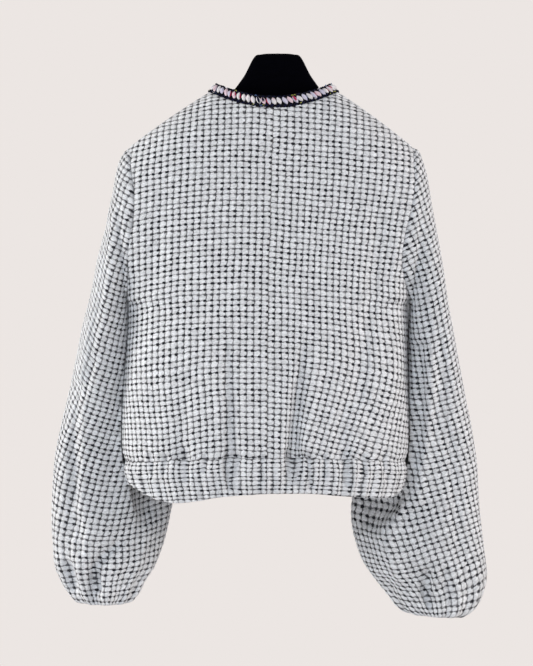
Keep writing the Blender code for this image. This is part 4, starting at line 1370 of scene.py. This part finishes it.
def braid_material():
    """Soft dyed yarn, its colour kept on the strands, with fine twisted fibres."""
    g = Graph("braid_yarn")
    fibres, _ = g.noise(1500.0, 2.0)
    colour = g.scaled(g.read("yarn")["Color"], g.ramp(fibres, 0.25, 0.75, 0.72, 1.08))
    return g.finish(colour, 0.8, 0.12, 0.0, fibres, 0.4 * MM, 0.7)


def velvet_material():
    """Black flock: nearly no shine, a faint sheen, and a fine nap."""
    g = Graph("black_velvet")
    nap, _ = g.noise(900.0, 3.0)
    patches, _ = g.noise(25.0, 2.0)
    shade = g.times(g.ramp(nap, 0.3, 0.7, 0.7, 1.3), g.ramp(patches, 0.3, 0.7, 0.85, 1.15))
    return g.finish(g.scaled(VELVET_BLACK, shade), 1.0, 0.02, 0.002, nap, 0.3 * MM, 0.5)


def studio_material():
    material = bpy.data.materials.new("pale_studio")
    material.use_nodes = True
    nodes = material.node_tree.nodes
    nodes.remove(nodes["Principled BSDF"])
    pale_glow(material.node_tree, "ShaderNodeEmission", nodes["Material Output"])
    return material


def pale_glow(tree, kind, output):
    """The studio's even colour, which lights the object by AMBIENT of what shows of it."""
    glow = tree.nodes.new(kind)
    glow.inputs["Color"].default_value = (*BACKGROUND, 1)
    path = tree.nodes.new("ShaderNodeLightPath")
    strength = tree.nodes.new("ShaderNodeMapRange")
    strength.inputs["To Min"].default_value = AMBIENT
    tree.links.new(path.outputs["Is Camera Ray"], strength.inputs["Value"])
    tree.links.new(strength.outputs["Result"], glow.inputs["Strength"])
    tree.links.new(glow.outputs[0], output.inputs["Surface"])


# ---------------------------------------------------------------- the braid

LOOP_STEP = 7.4 * MM  # between the braid's loops
LOOP_HEIGHT = 10.5 * MM
LOOP_LEAN = 4.6 * MM  # how far a loop's foot stands along from its top
LOOP_SPREAD = 1.95 * MM  # from a loop's middle strand to its side ones
STRAND_RADII = (1.35, 1.85, 1.35)  # of a loop's three strands, in mm
LOOP_CHOICES = ["white", "white", "white", "lavender", "pink"]
STREAK_SHARES = {"red": 0.34, "pink": 0.14, "blue": 0.08, "navy": 0.08}  # the rest have no streak
GROUND_HEIGHTS = (-4.2, -1.4, 1.4, 4.2)  # of the dark strands behind the loops, in mm
GROUND_RADIUS = 1.9 * MM
GROUND_POINTS = 160  # along each of those strands
CORD_POINTS = 520
FLECKS = 170
LOOP_BULGE = 2.1 * MM
CORD_RADIUS = 1.15 * MM
CORD_TWIST = 8.0 * MM  # length of one turn of the edge cords
CORDS = ((6.2 * MM, 0.95), (-6.3 * MM, 1.25))  # height of each edge cord, and its thickness
YARNS = {
    "white": (0.84, 0.82, 0.85),
    "lavender": (0.66, 0.64, 0.78),
    "pink": (0.84, 0.66, 0.73),
    "red": (0.50, 0.03, 0.09),
    "navy": (0.006, 0.008, 0.032),
    "black": (0.003, 0.003, 0.006),
    "blue": (0.10, 0.17, 0.34),
    "teal": (0.05, 0.16, 0.20),
    "olive": (0.42, 0.42, 0.10),
}


def neckline(side, face, count):
    """Points along one quarter of the neckline, from the centre to the neck point."""
    phi = np.linspace(0, math.asin(NECK_HALF / SHOULDER_HALF), count)
    return body_point(side, face, phi, np.full(count, 2.0))


def along_line(run, at, values):
    """Points or directions known at the distances at along a line, read at other distances."""
    return np.stack([np.interp(run, at, values[:, i]) for i in range(3)], axis=-1)


def braid_frame():
    """The braid's line along the neckline: its length so far, middle, and three directions."""
    quarters = [neckline(LEFT, FRONT, 60), neckline(LEFT, BACK, 60)[::-1]]
    quarters += [neckline(RIGHT, BACK, 60), neckline(RIGHT, FRONT, 60)[::-1]]
    line = np.concatenate(quarters)
    run = run_along(line.T, 0)
    at = np.linspace(0, run[-1], 400)
    line = along_line(at, run, line)
    for _ in range(6):  # smooths the line's corners
        line = np.concatenate([line[:1], (line[:-2] + 2 * line[1:-1] + line[2:]) / 4, line[-1:]])
    along = unit(np.gradient(line, axis=0))
    inward = np.stack([body("shift", line[:, Z]) - line[:, X], -line[:, Y], 0 * at], axis=1)
    at_side = np.abs(inward[:, X]) / np.maximum(np.abs(inward[:, X]).max(), 1e-9)
    lean = np.radians(BRAID_LEAN[0] + (BRAID_LEAN[1] - BRAID_LEAN[0]) * at_side**2)[:, None]
    up = unit(unit(inward) * np.sin(lean) + np.array([0, 0, 1]) * np.cos(lean))
    up = unit(up - along * (up * along).sum(axis=1, keepdims=True))
    out = unit(np.cross(along, up))
    out = out * np.sign(-(out * inward).sum(axis=1, keepdims=True))
    return at, line + up * (BRAID_GAP + BRAID_WIDTH / 2), along, up, out


def placed(frame, run, high, out):
    """Points at a distance along the braid, a height up it and a distance out of it."""
    at, middle, along, up, outside = frame
    past = along_line(run, at, along) * (run - np.clip(run, at[0], at[-1]))[..., None]
    rise = unit(along_line(run, at, up)) * high[..., None]
    away = unit(along_line(run, at, outside)) * out[..., None]
    return along_line(run, at, middle) + past + rise + away


def tubes(centres, radii, sides):
    """Closed tubes round many lines at once: centres is lines by points by 3, radii lines by
    points. Gives the points and the faces."""
    lines, count = centres.shape[:2]
    along = unit(np.gradient(centres, axis=1))
    guide = np.broadcast_to(np.array([0.31, 0.22, 0.92]), along.shape)
    first = unit(np.cross(along, guide))
    second = np.cross(along, first)
    turn = np.linspace(0, 2 * math.pi, sides + 1)[:-1, None]
    ring = first[:, :, None] * np.cos(turn) + second[:, :, None] * np.sin(turn)
    points = centres[:, :, None] + ring * radii[:, :, None, None]
    starts = (np.arange(lines) * count * sides)[:, None]
    walls = (starts[..., None] + skin(count, sides, 0, True)).reshape(-1, 4)
    caps = np.arange(sides)
    ends = np.concatenate([starts + caps[::-1], starts + (count - 1) * sides + caps])
    return points.reshape(-1, 3), [walls, ends]


def braid_loops(frame, length, draw):
    """Fat leaning loops of three strands, drawn to points at their ends, on both faces."""
    loops = round(length / LOOP_STEP)
    step = length / loops
    t = np.linspace(0, 1, 11)
    full = np.sin(math.pi * np.clip(t, 0.03, 0.97))
    centres, radii, colours = [], [], []
    for i in range(loops):
        ground = draw.choice(LOOP_CHOICES)
        shares = [*STREAK_SHARES.values(), 1 - sum(STREAK_SHARES.values())]
        streak = draw.choice([*STREAK_SHARES, ground], p=shares)
        streaked = draw.integers(3)
        start = (i + 0.5 + draw.uniform(-0.08, 0.08)) * step
        lean = LOOP_LEAN * draw.uniform(0.75, 1.25)
        tall = LOOP_HEIGHT * draw.uniform(0.86, 1.08)
        middle = draw.uniform(-0.5, 0.5) * MM
        for face in (1, -1):
            for k in range(3):
                run = start - lean * (t - 0.5) + (k - 1) * LOOP_SPREAD * full
                out = face * (0.8 * MM + (LOOP_BULGE - 0.5 * MM * abs(k - 1)) * full**0.7)
                centres.append(placed(frame, run, middle + tall * (t - 0.5), out))
                radii.append(STRAND_RADII[k] * MM * (0.25 + 0.75 * full**0.8))
                plain = np.array(YARNS[ground]) * draw.uniform(0.92, 1.06)
                dyed = np.array(YARNS[streak if k == streaked else ground]) * draw.uniform(0.9, 1.08)
                share = smooth((t - draw.uniform(-0.3, 0.5)) / 0.2)[:, None]
                colours.append(plain * (1 - share) + dyed * share)
    return centres, radii, colours


def braid_cords(frame, length):
    """Two thick uneven cords of dark strands along the braid's edges."""
    run = np.linspace(0, length, CORD_POINTS)
    centres, radii, colours = [], [], []
    for number, (high, thick) in enumerate(CORDS):
        loose = 0.8 * MM * wander(run / (6 * MM), 0 * run, 60 + number)
        for strand in range(2):
            turn = 2 * math.pi * run / CORD_TWIST + strand * math.pi
            turn = turn + 1.2 * wander(run / (11 * MM), 0 * run, 64 + number)
            rise = high + loose + 0.75 * MM * thick * np.sin(turn)
            out = 1.3 * MM * thick * np.cos(turn)
            centres.append(placed(frame, run, rise, out))
            uneven = 1 + 0.3 * wander(run / (3 * MM), 0 * run, 68 + 2 * number + strand)
            radii.append(CORD_RADIUS * thick * uneven)
            shade = np.array(YARNS["navy" if strand else "black"])
            colours.append(np.repeat(shade[None], len(run), axis=0))
    return centres, radii, colours


def braid_flecks(frame, length, draw):
    """Loose bits of thin yarn between the loops and over the cords."""
    t = np.linspace(0, 1, 7)
    arch = np.sin(math.pi * np.clip(t, 0.05, 0.95))
    centres, radii, colours = [], [], []
    for i in range(FLECKS):
        start = draw.uniform(0, length)
        face = draw.choice([1, -1])
        if i % 2:  # leaning between two loops
            start = (round(start / LOOP_STEP) + draw.uniform(-0.1, 0.1)) * LOOP_STEP
            run = start - 0.8 * LOOP_LEAN * (t - 0.5)
            high = 8.5 * MM * (t - 0.5)
            out = face * (1.2 + 1.3 * arch) * MM
            size, tint = 0.55, draw.choice(["navy", "teal", "blue", "lavender", "black"])
        else:  # an arch over one of the cords
            edge = draw.choice([1, -1])
            run = start + draw.uniform(2.5, 5.0) * MM * (t - 0.5)
            high = edge * (5.2 + draw.uniform(1.2, 2.4) * arch) * MM
            out = face * (1.6 + 1.2 * arch) * MM
            size, tint = 0.5, draw.choice(["olive", "olive", "olive", "white", "blue", "navy"])
        centres.append(placed(frame, run, high, out))
        radii.append(size * MM * (0.4 + 0.6 * arch))
        colours.append(np.repeat(np.array(YARNS[tint])[None], len(t), axis=0))
    return centres, radii, colours


def braid():
    """Leaning loops of soft yarn on a dark ground, between two dark cords."""
    frame = braid_frame()
    length = frame[0][-1]
    draw = np.random.default_rng(11)
    run = np.linspace(0, length, GROUND_POINTS)
    ground = [placed(frame, run, np.full_like(run, high * MM), 0 * run) for high in GROUND_HEIGHTS]
    radii = np.full((len(ground), GROUND_POINTS), GROUND_RADIUS)
    black = np.broadcast_to(YARNS["black"], (len(ground), GROUND_POINTS, 3))
    groups = [
        (*braid_loops(frame, length, draw), 8),
        (*braid_cords(frame, length), 8),
        (*braid_flecks(frame, length, draw), 5),
        (ground, radii, black, 8),
    ]
    points, faces, paints, start = [], [], [], 0
    for centres, thick, colours, sides in groups:
        part_points, part_faces = tubes(np.array(centres), np.array(thick), sides)
        points.append(part_points)
        faces += [block + start for block in part_faces]
        start += len(part_points)
        paints.append(np.repeat(np.array(colours).reshape(-1, 3), sides, axis=0))
    mesh = mesh_of("braid_loops", np.concatenate(points), faces)
    paint = np.concatenate(paints)
    give(mesh, "yarn", "FLOAT_COLOR", "color", np.concatenate([paint, np.ones((len(paint), 1))], axis=1))
    return added("braid_loops", mesh, bpy.data.materials["braid_yarn"])


# ---------------------------------------------------------------- the hanger


def hanger():
    """The hanger, in finer sections than its solid's, with the socket for its hook."""
    # Sections stand closer across the neck, and the last two close the end of each arm.
    sections = np.concatenate([np.linspace(0, 80, 61), np.linspace(82, 172, 46), [173, 173.8]]) * MM
    stations = np.concatenate([-sections[:0:-1], sections])
    turns = np.linspace(0, 2 * math.pi, 41)[:-1]
    x, turn = np.meshgrid(stations, turns, indexing="ij")
    top, underside, depth = (
        through(HANGER["across"], HANGER[name], np.abs(x))
        for name in ("top", "underside", "half_depth")
    )
    y = depth * squarer(np.cos(turn), HANGER_SQUARENESS)
    z = (top + underside) / 2 + (top - underside) / 2 * squarer(np.sin(turn), HANGER_SQUARENESS)
    rows, columns = x.shape
    caps = np.arange(columns)
    ends = np.stack([caps, (rows - 1) * columns + caps[::-1]])
    faces = [skin(rows, columns, 0, True)[:, ::-1], ends]
    mesh = mesh_of("velvet_hanger", stack(x, y, z).reshape(-1, 3), faces)
    made = added("velvet_hanger", mesh, bpy.data.materials["black_velvet"])
    bpy.ops.mesh.primitive_cylinder_add(vertices=32, radius=SOCKET_RADIUS, depth=2 * SOCKET_DEPTH)
    cutter = bpy.context.object
    cut = made.modifiers.new("hook_socket", "BOOLEAN")
    cut.object = cutter
    cut.solver = "EXACT"
    evaluated = made.evaluated_get(bpy.context.evaluated_depsgraph_get())
    made.data = bpy.data.meshes.new_from_object(evaluated)
    made.modifiers.clear()
    made.data.name = "velvet_hanger"
    bpy.data.objects.remove(cutter)
    made.data.set_sharp_from_angle(angle=math.radians(50))
    return made


# ---------------------------------------------------------------- the studio


def studio():
    """The pale floor and surroundings, the lights and the camera."""
    scene = bpy.context.scene
    scene.view_settings.view_transform = "Standard"
    world = bpy.data.worlds.new("studio")
    scene.world = world
    world.use_nodes = True
    tree = world.node_tree
    tree.nodes.clear()
    pale_glow(tree, "ShaderNodeBackground", tree.nodes.new("ShaderNodeOutputWorld"))

    signs = np.array([(-1, -1), (1, -1), (1, 1), (-1, 1)])
    corners = np.concatenate([signs * FLOOR_HALF, np.full((4, 1), FLOOR_Z)], axis=1)
    floor = added("floor", mesh_of("floor", corners, [np.array([[0, 1, 2, 3]])]), studio_material())

    for light in LIGHTS:
        area_light(*light)

    camera = bpy.data.objects.new("camera", bpy.data.cameras.new("camera"))
    scene.collection.objects.link(camera)
    camera.location = CAMERA_PLACE
    camera.rotation_euler = (math.pi / 2, 0, math.pi)
    camera.data.lens = CAMERA_LENS
    camera.data.sensor_width = 36
    scene.camera = camera


def area_light(name, place, size, power, colour):
    """A round light that shines at the middle of the jacket."""
    data = bpy.data.lights.new(name, "AREA")
    data.shape = "DISK"
    data.size = size
    data.energy = power
    data.color = colour
    light = bpy.data.objects.new(name, data)
    bpy.context.scene.collection.objects.link(light)
    light.location = place
    away = np.array(place) - np.array(JACKET_MIDDLE)
    pitch = math.acos(away[Z] / np.linalg.norm(away))
    light.rotation_euler = (pitch, 0, math.atan2(away[Y], away[X]) + math.pi / 2)


# ---------------------------------------------------------------- all together

# The cut of each piece: the width and length of the cloth that it was cut from, the flat area of
# the piece, and how the cloth is held.
CUTS = {
    "back_left": ((0.235, 0.515), 0.103, "hung"),
    "back_right": ((0.230, 0.515), 0.101, "hung"),
    "front_left": ((0.235, 0.505), 0.099, "hung"),
    "front_right": ((0.230, 0.505), 0.098, "hung"),
    "waistband_back": ((0.53, 0.05), 0.0265, "gathered"),
    "waistband_front_left": ((0.265, 0.045), 0.0119, "gathered"),
    "waistband_front_right": ((0.26, 0.045), 0.0117, "gathered"),
    "sleeve_outer_left": ((0.235, 0.64), 0.118, "gathered"),
    "sleeve_under_left": ((0.225, 0.45), 0.092, "gathered"),
    "sleeve_outer_right": ((0.265, 0.65), 0.125, "gathered"),
    "sleeve_under_right": ((0.225, 0.50), 0.104, "gathered"),
    "cuff_left": ((0.125, 0.01), None, "gathered"),
    "cuff_right": ((0.125, 0.01), None, "gathered"),
}


def main():
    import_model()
    tweed_material()
    braid_material()
    velvet_material()
    cloth = {**body_panels(), **waistband(), **sleeves()}
    trim = braid()
    stand = hanger()
    for node, piece in cloth.items():
        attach(piece, "root")
        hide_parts(node)
        flat, area, held = CUTS[node]
    for piece, node, slot in ((trim, "neck_braid", "braid"), (stand, "hanger", "velvet")):
        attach(piece, "root")
        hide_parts(node)
    studio()


main()
